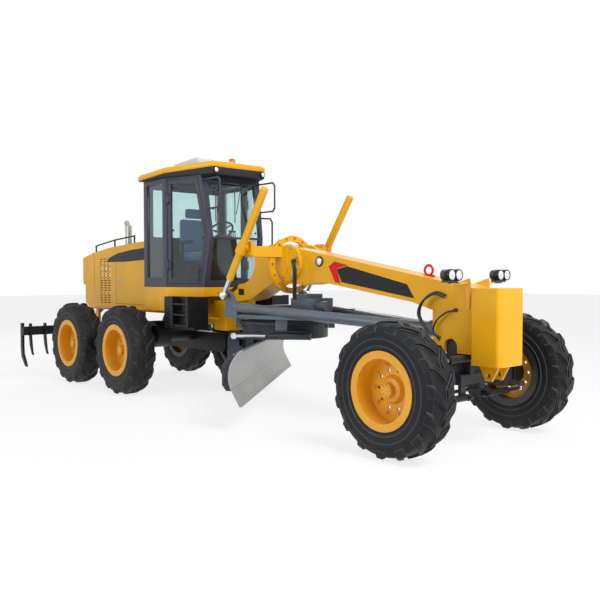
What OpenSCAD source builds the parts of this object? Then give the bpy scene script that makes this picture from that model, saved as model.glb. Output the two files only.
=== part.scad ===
// Motor grader: a hinged machine with a blade under its long front frame.
// +X is forward, +Y is the machine's left and +Z is up, in millimetres.
// Inside the modules x = 0 is the articulation pin, y = 0 the centreline and z = 0 the ground.

/* [Wheels] */
// Outer diameter of each tyre, lugs included
tyre_d = 1260; // [1180:10:1300]
// Width of each tyre
tyre_w = 345; // [310:5:360]
// Diameter of the tyre's bead and of the rim's seat
bead_d = 624; // [600:2:640]
// Outer diameter of the rim's flanges
rim_d = 730; // [700:5:760]
// Number of lugs on each side of a tyre
lug_count = 12; // [10:1:20]
// Width of a lug round the tyre
lug_w = 60; // [40:2:70]
// How far a lug runs round the tyre on its way out
lug_sweep = 120; // [80:5:150]
// Distance between the middles of the left and right tyres
track = 2020; // [1980:10:2080]
// Distance from the articulation pin forward to the front axle
front_axle_x = 4050; // [3950:10:4200]
// Distance from the articulation pin back to the middle of the tandem
tandem_x = 1750; // [1700:10:1850]
// Distance between the two wheels of one tandem
tandem_pitch = 1560; // [1520:10:1640]

/* [Front frame] */
// Width of the box beam
beam_w = 300; // [260:10:320]
// Height of the beam's top at the nose
nose_top = 1540; // [1500:10:1560]
// Height of the beam's top at the saddle
saddle_top = 1990; // [1960:10:2040]
// Depth of the beam
beam_depth = 285; // [260:5:310]
// Length of the nose block along the machine
nose_len = 315; // [280:5:340]
// Width of the nose block
nose_w = 410; // [380:10:440]
// Lowest height of the nose block
nose_bottom = 810; // [780:10:850]
// Width of the tail box at the articulation pin
tail_w = 500; // [460:10:520]
// Height of the tail's lower plate, underside
tail_bottom = 935; // [925:5:950]
// Height of the tail's upper plate, top side
tail_top = 1340; // [1330:5:1350]

/* [Cab] */
// Height of the cab's floor above the ground
cab_floor = 1520; // [1510:5:1540]
// Height of the cab's walls where the roof begins
cab_top = 3040; // [2990:10:3090]
// Width of the cab behind the doors
cab_w = 1400; // [1360:10:1440]
// Width of the cab's narrow front
cab_front_w = 890; // [860:10:920]
// Distance from the articulation pin back to the cab's rear wall
cab_rear = 950; // [930:10:980]
// Distance from the articulation pin back to the door post
door_post = 370; // [350:10:400]
// Thickness of the cab's walls and doors
cab_wall = 50; // [40:2:56]
// Thickness of the window panes
pane = 8; // [6:1:12]

/* [Blade] */
// Length of the blade
blade_len = 3700; // [3500:20:3720]
// Height of the blade, from cutting edge to top
blade_h = 590; // [570:5:595]
// Thickness of the curved board
board_t = 22; // [18:1:25]
// Height of the cutting edge above the ground at rest
blade_clear = 280; // [270:2:284]
// Distance of the cutting edge behind the circle's middle
blade_back = 220; // [190:10:240]
// Turn of the blade at rest, its right end forward, degrees
blade_turn = 41; // [38:1:44]
// Side shift of the blade at rest, to its left
blade_shift = 200; // [150:10:220]
// Distance from the articulation pin forward to the circle's middle
circle_x = 1370; // [1360:5:1390]
// Outer diameter of the circle
circle_d = 1150; // [1100:10:1180]

/* [Hidden] */
$fn = 48;

tyre_r = tyre_d / 2;
half_track = track / 2;
mid_x = -tandem_x + tandem_pitch / 2;
rear_x = -tandem_x - tandem_pitch / 2;
// Clearances: seated faces, running pins, and moving pieces side by side
gap = 0.3;
run = 0.05;
side_gap = 6;

// Tread: the flat tops of the lugs reach the outer diameter at their corners
tread_r = tyre_d / 2 - 34;
lug_reach = lug_sweep / 2 + lug_w / 2;
lug_top = sqrt(pow(tyre_d / 2, 2) - pow(lug_reach, 2));
lug_phase = 90 - asin(lug_reach / (tyre_d / 2));

// Wheels: places along the axle, outward from the tyre's middle
hub_in = -120;
hub_r = 110;
disc_t = 18;
disc_at = -20;
hub_cap_r = 70;

// Leaning front wheels
lean_y = 620;
lean_z = 640;
lean_arm = 220;
lean_plate = [85, 125];
lean_bar_x = front_axle_x - 156;
lean_rod_x = front_axle_x + 156;
axle_pin_z = 965;
king_y = 790;
king_r = 45;
steer_arm = 220;
tie_z = 455;
steer_x = front_axle_x + 200;
steer_arm_z = 520;
steer_rod_z = 490;
steer_base_y = 160;

// Drawbar
ball_x = 3760;
ball_z = 1120;
ball_r = 60;
draw_tube = 125;
draw_rear_x = 1120;
draw_rear_y = 600;
draw_rear_z = 1290;
lift_eye_x = 1000;
lift_eye_y = 700;
deck_z = [1150, 1195];
ring_r = circle_d / 2;
lift_eye_z = 1430;
saddle_x = 1380;
saddle_y = lift_eye_y;
saddle_z = 2000;

// Circle: toothed flange, wall, and the arms under it
ring_top = 1110;
flange_t = 40;
ring_bottom = 905;
ring_wall = 40;
ring_step = 35;
arm_y = [500, 560];
arm_top = 985;
shoe_bottom = 1015;

// Blade, in the circle's frame: forward from the circle's middle, left along the blade, up
pivot_n = -560;
pivot_z = 480;
rail_n = [-445, -350];
rail_h = 40;
rail_zs = [500, 740];
plate_y = [585, 615];
shift_n = -420;
shift_z = 640;
shift_lug_y = 1110;
pitch_base_n = 350;
pitch_base_z = 955;
pitch_eye_n = -520;
pitch_eye_z = 955;
pitch_y = -660;

// Articulation pin's fork plates and cylinders
plate_t = 50;
artic_front = [60, 340];
artic_rear = [-760, 330];
artic_z = 1050;

// Ripper
ripper_pivot_x = -3390;
ripper_pivot_z = 800;
ripper_base_x = -3330;
ripper_base_z = 1290;
ripper_eye_x = -4260;
ripper_eye_z = 850;
ripper_beam_x = [-4510, -4390];
ripper_beam_z = [640, 790];
ripper_len = 2300;

// ---------- helpers ----------

// Copies a child to both sides, or to one: side = 1 is the left.
module on_side(side) mirror([0, side == 1 ? 0 : 1, 0]) children();
module both_sides() {
    for (side = [-1, 1]) on_side(side) children();
}

// Round bar from point p to point q.
module bar(p, q, d) {
    v = q - p;
    translate(p)
        rotate([0, acos(v[2] / norm(v)), atan2(v[1], v[0])])
            cylinder(d = d, h = norm(v));
}

// Round bar along X, Y or Z, centred on its place.
module bar_x(d, len) rotate([0, 90, 0]) cylinder(d = d, h = len, center = true);
module bar_y(d, len) rotate([90, 0, 0]) cylinder(d = d, h = len, center = true);

// Plate with its outline in X and Z, from y = y0 to y = y0 + t.
module side_plate(y0, t) {
    translate([0, y0 + t, 0]) rotate([90, 0, 0]) linear_extrude(t) children();
}

// Block between two opposite corners.
module block(a, b) translate(a) cube(b - a);

// Turns the blade's own frame (forward, left, up) into the machine's.
module circle_frame() translate([circle_x, 0, 0]) rotate([0, 0, blade_turn]) children();

// ---------- wheels ----------

module tyre() {
    w = tyre_w / 2;
    bead = bead_d / 2;
    color("#1d1e20")
        rotate([-90, 0, 0]) {
            rotate_extrude($fn = 16) polygon([
                [bead, -w + 25], [rim_d / 2 + 2, -w + 22], [rim_d / 2 + 80, -w],
                [tread_r - 45, -w + 10], [tread_r, -w + 60], [tread_r, w - 60],
                [tread_r - 45, w - 10], [rim_d / 2 + 80, w], [rim_d / 2 + 2, w - 22],
                [bead, w - 25]
            ]);
            // slanted lugs, those of one side between those of the other
            for (side = [-1, 1]) for (i = [0 : lug_count - 1])
                rotate([0, 0, lug_phase + (i + (side + 1) / 4) * 360 / lug_count]) lug(side);
        }
}

// One lug of the tread: it starts at the tyre's middle and slants out over the shoulder.
module lug(side) {
    lug_in = lug_sweep / 2;
    translate([tread_r - 40, 0, 0]) rotate([90, 0, 90]) linear_extrude(lug_top - tread_r + 40)
        mirror([0, side == 1 ? 0 : 1]) polygon([
            [lug_in - lug_w / 2, 5], [lug_in + lug_w / 2, 5],
            [-lug_in + lug_w / 2, tyre_w / 2 - 12], [-lug_in - lug_w / 2, tyre_w / 2 - 12]
        ]);
}

module rim() {
    w = tyre_w / 2;
    seat = bead_d / 2 - gap;
    color("#e3a417")
        rotate([-90, 0, 0]) difference() {
            rotate_extrude($fn = 72) polygon([
                [0, hub_in + gap], [hub_r, hub_in + gap], [hub_r + 20, disc_at - disc_t],
                [seat - 20, disc_at - disc_t], [seat - 20, -w + 10], [rim_d / 2, -w + 10],
                [rim_d / 2, -w + 20], [seat, -w + 24], [seat, w - 24],
                [rim_d / 2, w - 20], [rim_d / 2, w - 10], [seat - 20, w - 10],
                [seat - 20, disc_at], [hub_r + 25, disc_at], [hub_r, disc_at + 40],
                [hub_cap_r, disc_at + 52], [hub_cap_r - 8, disc_at + 105], [0, disc_at + 105]
            ]);
            for (i = [0 : 9])
                rotate([0, 0, i * 36]) translate([hub_r + 70, 0, disc_at - disc_t - 1])
                    cylinder(r = 16, h = disc_t + 2, $fn = 24);
        }
}

module wheel_at(x, side) on_side(side) translate([x, half_track, tyre_r]) children();

// ---------- rear body ----------

rail_z = [1130, 1400];
hinge_z = [tail_bottom + plate_t + 0.5, tail_top - plate_t - 0.5];

module rear_frame() {
    color("#d99a15") {
        difference() {
            union() {
                both_sides() block([-3250, 300, rail_z[0]], [-150, 400, rail_z[1]]);
                block([-420, -400, rail_z[0]], [-150, 400, rail_z[1]]);
                for (x = [-3250, -2300, -1300]) block([x, -301, 1160], [x + 90, 301, 1390]);
                block([-300, -110, hinge_z[0]], [0, 110, hinge_z[1]]);
                translate([0, 0, hinge_z[0]]) cylinder(r = 110, h = hinge_z[1] - hinge_z[0]);
                cab_platform();
                // lugs of the articulation cylinders
                both_sides() for (z = [artic_z - 62, artic_z + 32])
                    translate([artic_rear[0], artic_rear[1], z]) {
                        cylinder(r = 50, h = 30);
                        block([-60, -60, 0], [0, 50, 30]);
                    }
                both_sides() block([artic_rear[0] - 110, artic_rear[1] - 60, artic_z - 62],
                                   [artic_rear[0] - 50, artic_rear[1] + 50, rail_z[0] + 5]);
                ripper_bracket();
            }
            translate([0, 0, hinge_z[0] - 1])
                cylinder(r = 60 + run, h = hinge_z[1] - hinge_z[0] + 2);
            both_sides() translate([artic_rear[0], artic_rear[1], artic_z - 70])
                cylinder(r = 22, h = 140);
        }
    }
}

function cab_plan(grow = 0) = [
    [-cab_rear - grow, cab_w / 2 + grow], [-door_post, cab_w / 2 + grow],
    [420 + grow, cab_front_w / 2 + grow - 23], [420 + grow, -cab_front_w / 2 - grow + 23],
    [-door_post, -cab_w / 2 - grow], [-cab_rear - grow, -cab_w / 2 - grow]
];

module cab_platform() {
    intersection() {
        translate([0, 0, rail_z[1] - 5]) linear_extrude(cab_floor - rail_z[1] + 5 - gap)
            polygon(cab_plan());
        block([-cab_rear, -800, 1300], [250, 800, 1600]);
    }
    // skirts below the cab, in line with the hood's lower edge
    both_sides() block([-cab_rear, cab_w / 2 - 50, 1190], [-310, cab_w / 2, rail_z[1] + 5]);
}

module ripper_bracket() {
    both_sides() {
        side_plate(250, 45) polygon([
            [-3245, 1390], [-3245, 760], [ripper_pivot_x + 40, ripper_pivot_z - 60],
            [ripper_pivot_x - 45, ripper_pivot_z - 50], [ripper_pivot_x - 50, ripper_pivot_z + 40],
            [-3330, 1100], [-3330, 1390]
        ]);
        translate([ripper_pivot_x, 300, ripper_pivot_z]) bar_y(50, 100);
        // lugs of the ripper's cylinder
        side_plate(52, 22) polygon([
            [-3235, 1200], [ripper_base_x - 30, ripper_base_z - 45],
            [ripper_base_x - 45, ripper_base_z], [ripper_base_x - 30, ripper_base_z + 45],
            [-3235, 1370]
        ]);
    }
    translate([ripper_base_x, 0, ripper_base_z]) bar_y(40, 130);
}

module tandem_axle() {
    color("#2c2e31") {
        both_sides() difference() {
            union() {
                side_plate(640, 150) {
                    polygon([
                        [rear_x, tyre_r - 150], [mid_x, tyre_r - 150],
                        [mid_x, tyre_r + 150], [rear_x, tyre_r + 150]
                    ]);
                    for (x = [rear_x, mid_x]) translate([x, tyre_r]) circle(150);
                }
                for (x = [rear_x, mid_x]) translate([x, 700, tyre_r]) rotate([-90, 0, 0])
                    cylinder(d = 190, h = half_track + hub_in - 700);
            }
        }
        translate([-tandem_x, 0, 760]) bar_y(260, 1290);
        translate([-tandem_x, 0, 760]) bar_y(420, 240);
        both_sides() block([-tandem_x - 130, 300, 880], [-tandem_x + 130, 400, rail_z[0] - gap]);
    }
}

hood_x = [-3380, -cab_rear - 12];
hood_w = 1000;
hood_wall = 30;
hood_z = 1165;
slots_x = -2750;
slots_z = 1245;
slot_rows = 19;
slot_step = 39;
hood_line = [[-3380, 1985], [-3000, 2065], [-2400, 2135], [-1500, 2190], [-962, 2200]];

// Height of the hood's top at a place along the machine.
function hood_top(x) = lookup(x, hood_line);

module hood_outline(inset = 0) {
    polygon(concat(
        [for (p = hood_line) [p[0] + (p == hood_line[0] ? inset : 0)
            - (p == hood_line[4] ? inset : 0), p[1] - inset]],
        [[hood_x[1] - inset, hood_z - inset * 4], [-3150, hood_z - inset * 4],
         [-3290 + inset, 1245], [-3290 + inset, 1530 + inset], [hood_x[0] + inset, 1560 + inset]]));
}

module hood() {
    color("#eab01e") {
        difference() {
            side_plate(-hood_w / 2, hood_w) hood_outline();
            side_plate(-hood_w / 2 + hood_wall, hood_w - 2 * hood_wall) hood_outline(hood_wall);
            // cooling slots in both sides
            for (col = [0 : 2]) for (row = [0 : slot_rows - 1])
                block([slots_x + col * 132, -hood_w / 2 - 1, slots_z + row * slot_step],
                      [slots_x + col * 132 + 100, hood_w / 2 + 1, slots_z + row * slot_step + 15]);
            block([hood_x[0] - 1, -360, 1620], [hood_x[0] + hood_wall + 1, 360, 1930]);
            translate([-2700, 0, 1900]) cylinder(d = 140, h = 400);
            block([-3400, -hood_w / 2 + hood_wall, 1000],
                  [-900, hood_w / 2 - hood_wall, rail_z[1] + gap]);
        }
        for (z = [1640 : 30 : 1910]) block([hood_x[0] + 4, -362, z], [hood_x[0] + 24, 362, z + 10]);
        // feet on the rails
        for (x = [-3100, -2100, -1100]) both_sides()
            block([x, 352, rail_z[1] + gap], [x + 60, hood_w / 2 - hood_wall + 2, rail_z[1] + 20]);
    }
}

module engine() {
    color("#3a3d40") block([-2500, -345, rail_z[1] + gap], [-1300, 345, 2000]);
}

module exhaust() {
    color("#b9bbbd") {
        bar([-2700, 0, 1930], [-2700, 0, 2520], 110);
        bar([-2700, 0, 2500], [-2760, 0, 2590], 90);
    }
    color("#55585b") block([-2760, -70, 1840], [-2500 - gap, 70, 1940]);
}

// ---------- cab ----------

cab_mid_z = 2190;
cab_nose_x = 356;

// The cab's front edge, at height z.
function nose_x(z) = z < cab_mid_z
    ? 250 + (z - cab_floor) * (cab_nose_x - 250) / (cab_mid_z - cab_floor)
    : cab_nose_x - (z - cab_mid_z) * (cab_nose_x - 205) / (cab_top - cab_mid_z);

function cab_side(inset = 0) = [
    [-cab_rear + inset, cab_floor + inset], [250 - inset, cab_floor + inset],
    [cab_nose_x - inset, cab_mid_z], [205 - inset, cab_top - inset],
    [-cab_rear + inset, cab_top - inset]
];

module cab_solid(inset = 0) {
    intersection() {
        translate([0, 0, cab_floor - 10]) linear_extrude(cab_top - cab_floor + 20)
            offset_plan(-inset);
        side_plate(-1000, 2000) polygon(cab_side(inset));
    }
}

// Plan of the cab moved in or out by grow, with its straight edges parallel.
module offset_plan(grow) {
    slope = (cab_w - cab_front_w + 46) / 2 / (420 + door_post);
    k = sqrt(1 + slope * slope);
    kink = door_post - grow * (k - 1) / slope;
    polygon([
        [-cab_rear - grow, cab_w / 2 + grow], [-kink, cab_w / 2 + grow],
        [420, cab_front_w / 2 - 23 + grow * k], [420, -cab_front_w / 2 + 23 - grow * k],
        [-kink, -cab_w / 2 - grow], [-cab_rear - grow, -cab_w / 2 - grow]
    ]);
}

door_angle = atan2((cab_w - cab_front_w + 46) / 2, 420 + door_post);
door_gap = 6;

// The door's own frame: u runs forward along the slanted wall from its rear post, v is up.
module door_frame_at(side) {
    on_side(side) translate([-door_post, cab_w / 2, 0]) rotate([0, 0, -door_angle]) children();
}

function door_u(x) = (x + door_post) / cos(door_angle);
door_lo = cab_floor + 45;
door_hi = cab_top - 45;
door_outline = [
    [35, door_lo], [door_u(258 - 50), door_lo], [door_u(cab_nose_x - 52), cab_mid_z],
    [door_u(213 - 50), door_hi], [35, door_hi]
];
door_panel = [
    [35 + door_gap, door_lo + door_gap], [door_u(258 - 50) - door_gap - 2, door_lo + door_gap],
    [door_u(cab_nose_x - 52) - door_gap - 1, cab_mid_z],
    [door_u(213 - 50) - door_gap - 2, door_hi - door_gap], [35 + door_gap, door_hi - door_gap]
];
door_window = [
    [100, door_lo + 62], [door_u(258 - 50) - 52, door_lo + 62],
    [door_u(cab_nose_x - 52) - 54, cab_mid_z],
    [door_u(213 - 50) - 56, door_hi - 62], [100, door_hi - 62]
];

handle_ends = [[565, cab_floor + 92], [592, cab_floor + 260]];

module upright(points, y0, t) side_plate(y0, t) polygon(points);

door_hinge_u = 57;
door_hinge_v = 12;
door_hinge_zs = [cab_floor + 260, cab_top - 350];
door_hinge_h = 90;

// Tube hoops on the cab's front corners: [x, z] along them, straight forward and back.
function hoop_end(z) = [nose_x(z) - 36, z];
hoop_path = [
    hoop_end(cab_top - 75), [560, cab_top - 75], [600, cab_top - 115],
    [600, cab_top - 430], [560, cab_top - 470], hoop_end(cab_top - 470)
];
// Grab rail under it on the left side.
grab_path = [
    hoop_end(cab_top - 550), [500, cab_top - 570], [545, cab_top - 620],
    [545, cab_top - 1080], [505, cab_top - 1120], hoop_end(cab_top - 1120)
];

module hoop(path, y) {
    n = len(path);
    for (i = [0 : n - 2]) bar([path[i][0], y, path[i][1]], [path[i + 1][0], y, path[i + 1][1]], 24);
    for (i = [1 : n - 2]) translate([path[i][0], y, path[i][1]]) sphere(12.5);
}

module cab_frame() {
    color("#44464f") {
        both_sides() hoop(hoop_path, 462);
        hoop(grab_path, 462);
    }
    // hinge lugs and pins of the doors
    color("#44464f") for (side = [-1, 1]) door_frame_at(side) for (z = door_hinge_zs) {
        for (z0 = [z - 22 - gap, z + door_hinge_h + gap]) {
            block([5, 2, z0], [door_hinge_u + 11, 23, z0 + 22]);
            block([5, -3, z0], [33, 3, z0 + 22]);
        }
        translate([door_hinge_u, door_hinge_v, z - 10]) cylinder(d = 14, h = door_hinge_h + 20);
    }
    color("#44464f") difference() {
        cab_solid();
        cab_solid(cab_wall);
        // front panes, above and below the middle bar
        block([120, -cab_front_w / 2 + 60, cab_floor + 95], [600, cab_front_w / 2 - 60, cab_mid_z - 14]);
        block([60, -cab_front_w / 2 + 50, cab_mid_z + 14], [600, cab_front_w / 2 - 50, cab_top - 90]);
        // rear side windows
        block([-cab_rear + 90, -800, cab_floor + 130], [-door_post - 70, 800, cab_top - 90]);
        // rear window
        block([-cab_rear - 10, -cab_w / 2 + 130, 2240], [-cab_rear + 80, cab_w / 2 - 130, cab_top - 120]);
        for (side = [-1, 1]) door_frame_at(side) upright(door_outline, -cab_wall - 40, 100);
        // roof hatch opening is closed by the roof
        block([-cab_rear + 200, -400, cab_top - 80], [-50, 400, cab_top + 20]);
    }
}

module door(side) {
    color("#3d3f47") door_frame_at(side) difference() {
        union() {
            upright(door_panel, -cab_wall + 5, cab_wall - 10);
            // hinges on the rear edge and a pull handle near the front edge
            for (z = door_hinge_zs) translate([door_hinge_u, 0, z]) {
                translate([0, door_hinge_v, 0]) cylinder(d = 26, h = door_hinge_h);
                block([0, -6, 0], [44, door_hinge_v, door_hinge_h]);
            }
            for (p = handle_ends) translate([p[0], -8, p[1]]) rotate([-90, 0, 0])
                cylinder(d = 16, h = 36);
            bar([handle_ends[0][0], 26, handle_ends[0][1]], [handle_ends[1][0], 26, handle_ends[1][1]], 18);
        }
        upright(door_window, -cab_wall - 20, 100);
        for (z = door_hinge_zs) translate([door_hinge_u, door_hinge_v, z - 1])
            cylinder(d = 14 + 2 * run, h = door_hinge_h + 2);
    }
}

module cab_glass() {
    color("#9fb4bd", 0.5) {
        intersection() {
            difference() {
                cab_solid(cab_wall / 2 - pane / 2);
                cab_solid(cab_wall / 2 + pane / 2);
            }
            union() {
                block([120, -cab_front_w / 2 + 60 + gap, cab_floor + 95 + gap],
                      [600, cab_front_w / 2 - 60 - gap, cab_mid_z - 14 - gap]);
                block([60, -cab_front_w / 2 + 50 + gap, cab_mid_z + 14 + gap],
                      [600, cab_front_w / 2 - 50 - gap, cab_top - 90 - gap]);
                both_sides() block([-cab_rear + 90 + gap, 600, cab_floor + 130 + gap],
                      [-door_post - 70 - gap, 800, cab_top - 90 - gap]);
                block([-cab_rear - 10, -cab_w / 2 + 130 + gap, 2240 + gap],
                      [-cab_rear + 80, cab_w / 2 - 130 - gap, cab_top - 120 - gap]);
            }
        }
    }
}

module roof_plan(grow) {
    polygon([
        [-cab_rear - 60 - grow, cab_w / 2 + 70 + grow], [-door_post + 60, cab_w / 2 + 60 + grow],
        [420 + grow, cab_front_w / 2 + grow], [420 + grow, -cab_front_w / 2 - grow],
        [-door_post + 60, -cab_w / 2 - 60 - grow], [-cab_rear - 60 - grow, -cab_w / 2 - 70 - grow]
    ]);
}

// Heights of the roof's rim above the cab at its rear and front ends.
roof_rim = [48, 151];

module roof_layer(grow, lift) {
    intersection() {
        translate([0, 0, cab_top + gap]) linear_extrude(300) roof_plan(grow);
        side_plate(-900, 1800) polygon([
            [-1100, cab_top], [520, cab_top],
            [520, cab_top + roof_rim[1] + lift], [-1100, cab_top + roof_rim[0] + lift]
        ]);
    }
}

module cab_roof() {
    color("#eab01e") {
        roof_layer(0, 0);
        roof_layer(-40, 24);
        roof_layer(-130, 38);
    }
    // cooling unit, beacon and front lamps
    color("#d7dadb") side_plate(-330, 660) polygon([
        [-720, cab_top + 60], [-720, cab_top + 245], [-160, cab_top + 285],
        [20, cab_top + 170], [20, cab_top + 60]
    ]);
    color("#e08a12") translate([200, 30, cab_top + 100]) cylinder(d1 = 100, d2 = 80, h = 155);
    color("#202225") both_sides() translate([408, cab_front_w / 2 - 50, cab_top + 42])
        rotate([0, 90, 0]) cylinder(d = 74, h = 60, center = true);
}

module cab_interior() {
    color("#2f4a6b") {
        block([-700, -240, cab_floor + cab_wall + 330], [-180, 240, cab_floor + cab_wall + 450]);
        block([-760, -240, cab_floor + cab_wall + 440], [-640, 240, cab_floor + cab_wall + 1020]);
    }
    color("#26282b") {
        block([-640, -170, cab_floor + cab_wall + gap], [-240, 170, cab_floor + cab_wall + 331]);
        block([0, -130, cab_floor + cab_wall + gap], [150, 130, cab_floor + cab_wall + 620]);
        translate([-20, 0, cab_floor + cab_wall + 700]) rotate([0, -55, 0]) {
            difference() {
                cylinder(d = 420, h = 30, center = true);
                cylinder(d = 360, h = 40, center = true);
            }
            for (a = [0, 120, 240]) rotate([0, 0, a]) block([0, -15, -10], [190, 15, 10]);
            bar([0, 0, 0], [0, 0, -170], 60);
        }
    }
}

module steps_and_rails() {
    color("#3b3d40") both_sides() {
        for (x = [20, 390]) block([x, 770 + gap, 1000], [x + 45, 860, 1400 - gap]);
        for (z = [1010, 1150, 1290]) block([64, 805, z], [391, 850, z + 22]);
        // rail along the hood's edge
        for (x = [-3000, -2340, -1700])
            bar([x, 440, hood_top(x) + 1.9], [x, 440, hood_top(x) + 130], 26);
        for (i = [0, 1]) let (x = [-3000, -2340, -1700])
            bar([x[i], 440, hood_top(x[i]) + 118], [x[i + 1], 440, hood_top(x[i + 1]) + 118], 24);
    }
}

module side_tanks() {
    color("#232528") both_sides() block([-290, 545, 965], [440, 770, 1395 - gap]);
}

// ---------- front frame ----------

neck_x = 645;
beam_slope = (saddle_top - nose_top) / (front_axle_x + 285 - 1850);
function beam_top(x) = nose_top + (front_axle_x + 285 - x) * beam_slope;

module front_frame() {
    color("#eab01e") difference() {
        union() {
            // beam, gooseneck and head in one side view
            side_plate(-beam_w / 2, beam_w) polygon(concat(
                [[front_axle_x + 286, beam_top(front_axle_x + 286)], [1850, beam_top(1850)],
                 [1500, beam_top(1500) - 10], [1090, 2050], [960, 2005]],
                [for (a = [0 : 15 : 75]) [neck_x + 285 * cos(a), 1850 - 285 * sin(a)]],
                [[590, 1560], [430, 1440], [430, tail_top - 5], [620, tail_top - 5],
                 [860, 1370], [1290, beam_top(1850) - beam_depth - 130], [1900, 1560],
                 [2200, beam_top(2200) - beam_depth - 45],
                 [3560, beam_top(3560) - beam_depth], [front_axle_x - 220, 1320],
                 [front_axle_x - 220, 1000], [front_axle_x - 150, 905],
                 [front_axle_x + 286, 905]]));
            // nose block with rounded corners
            nose_block();
            // tow plates under the nose
            both_sides() side_plate(70, 30) polygon([
                [front_axle_x + 300, nose_bottom - gap], [front_axle_x + 520, nose_bottom - gap],
                [front_axle_x + 440, 660], [front_axle_x + 370, 660]
            ]);
            tail_box();
            // articulation pin
            translate([0, 0, tail_bottom - 12]) cylinder(r = 60, h = tail_top - tail_bottom + 24);
            // neck of the drawbar's ball
            bar([front_axle_x - 215, 0, ball_z], [ball_x, 0, ball_z], 62);
            translate([ball_x, 0, ball_z]) sphere(ball_r);
        }
        // tow pin bore
        translate([front_axle_x + 405, 0, 710]) bar_y(50, 300);
        // arch round the axle's boss, and its pin
        block([front_axle_x - 80, -200, 900], [front_axle_x + 80, 200, axle_pin_z]);
        translate([front_axle_x, 0, axle_pin_z]) bar_y(160, 400);
        translate([front_axle_x + 30, 0, axle_pin_z]) bar_x(70 + 2 * gap, 401);
    }
}

module nose_block() {
    r = 50;
    x0 = front_axle_x + 285;
    translate([0, 0, nose_bottom]) linear_extrude(nose_top - nose_bottom + 5) {
        translate([x0, -nose_w / 2]) square([nose_len - r, nose_w]);
        translate([x0, -nose_w / 2 + r]) square([nose_len, nose_w - 2 * r]);
        for (s = [-1, 1]) translate([x0 + nose_len - r, s * (nose_w / 2 - r)]) circle(r);
    }
}

module tail_box() {
    w = tail_w / 2;
    // two fork plates round the articulation pin
    for (z = [tail_bottom, tail_top - plate_t]) translate([0, 0, z]) linear_extrude(plate_t) {
        circle(130);
        polygon([[0, -130], [430, -w], [430, w], [0, 130]]);
    }
    // side plates and front wall
    both_sides() block([170, w - 40, tail_bottom], [430, w, tail_top]);
    block([330, -w, tail_bottom], [430, w, tail_top]);
    // lugs of the articulation cylinders
    for (z = [artic_z + 34]) both_sides() {
        translate([artic_front[0], artic_front[1], z]) cylinder(r = 48, h = 26);
        translate([0, 0, z]) linear_extrude(26) polygon([
            [artic_front[0], artic_front[1] + 48], [artic_front[0] - 40, artic_front[1] - 25],
            [175, w - 38], [320, w - 38]
        ]);
    }
}

// Centre of the saddle's ring round the beam, its radii and its holes.
index_x = [1470, 1515];
index_z = 1810;
index_r = [292, 362];
index_holes = 15;

module saddle() {
    color("#eab01e") {
        both_sides() difference() {
            union() {
                // round clamp plates on the beam, and arms out to the lifting cylinders
                translate([1640, beam_w / 2 + gap, 1830]) rotate([-90, 0, 0])
                    cylinder(r = 225, h = 45, $fn = 64);
                side_plate(beam_w / 2 + gap, 60) polygon([
                    [1300, 1790], [1480, 1700], [1640, 1640], [1640, 2020], [1480, 2060], [1300, 2060]
                ]);
                translate([0, 0, 1900]) linear_extrude(130) polygon([
                    [1300, beam_w / 2 + 40], [1560, beam_w / 2 + 40],
                    [1470, saddle_y - 110], [1310, saddle_y - 110]
                ]);
                block([saddle_x - 85, saddle_y - 130, 1915], [saddle_x + 85, saddle_y - 80, 2085]);
            }
            translate([saddle_x, saddle_y - 100, saddle_z]) bar_y(60 + 2 * run, 100);
        }
        difference() {
            translate([index_x[0], 0, index_z]) rotate([0, 90, 0])
                cylinder(r = index_r[1], h = index_x[1] - index_x[0], $fn = 72);
            translate([index_x[0] - 1, 0, index_z]) rotate([0, 90, 0])
                cylinder(r = index_r[0], h = 60, $fn = 72);
            for (i = [0 : index_holes - 1])
                translate([index_x[0] - 1, 0, index_z]) rotate([90 + i * 360 / index_holes, 0, 0])
                    translate([0, 0, index_r[1] - 35]) rotate([0, 90, 0]) cylinder(d = 34, h = 60);
        }
    }
}

module front_axle() {
    x = front_axle_x;
    color("#4a4d52") {
        difference() {
            union() {
                block([x - 80, -540, 600], [x + 80, 540, 790]);
                both_sides() block([x - 80, 530, 560], [x + 80, lean_y, 720]);
                both_sides() translate([x, lean_y, lean_z]) bar_x(160, 160);
                // boss between the head's cheeks, and its pin
                block([x - 74, -110, 785], [x + 74, 110, axle_pin_z]);
                translate([x, 0, axle_pin_z]) bar_y(148, 220);
                translate([x + 30, 0, axle_pin_z]) bar_x(70, 400);
                // bracket and pins of the steering cylinders
                block([x + 79, -195, 601], [x + 166, 195, 700]);
                both_sides() block([x + 130, 120, steer_rod_z - 35], [x + 166, 200, 602]);
                both_sides() translate([steer_x, steer_base_y, steer_rod_z]) bar_x(30, 140);
                // clamp of the leaning cylinder
                block([x + 79, -40, 700], [lean_rod_x, 40, lean_z + lean_arm]);
            }
            both_sides() translate([x, lean_y, lean_z]) bar_x(60 + 2 * run, 200);
            translate([lean_rod_x, -130, lean_z + lean_arm]) bar_y(60, 480);
        }
        // leaning cylinder's barrel
        difference() {
            translate([lean_rod_x, -130, lean_z + lean_arm]) bar_y(78, 500);
            translate([lean_rod_x, -200, lean_z + lean_arm]) bar_y(42 + 2 * run, 500);
        }
    }
}

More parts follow.
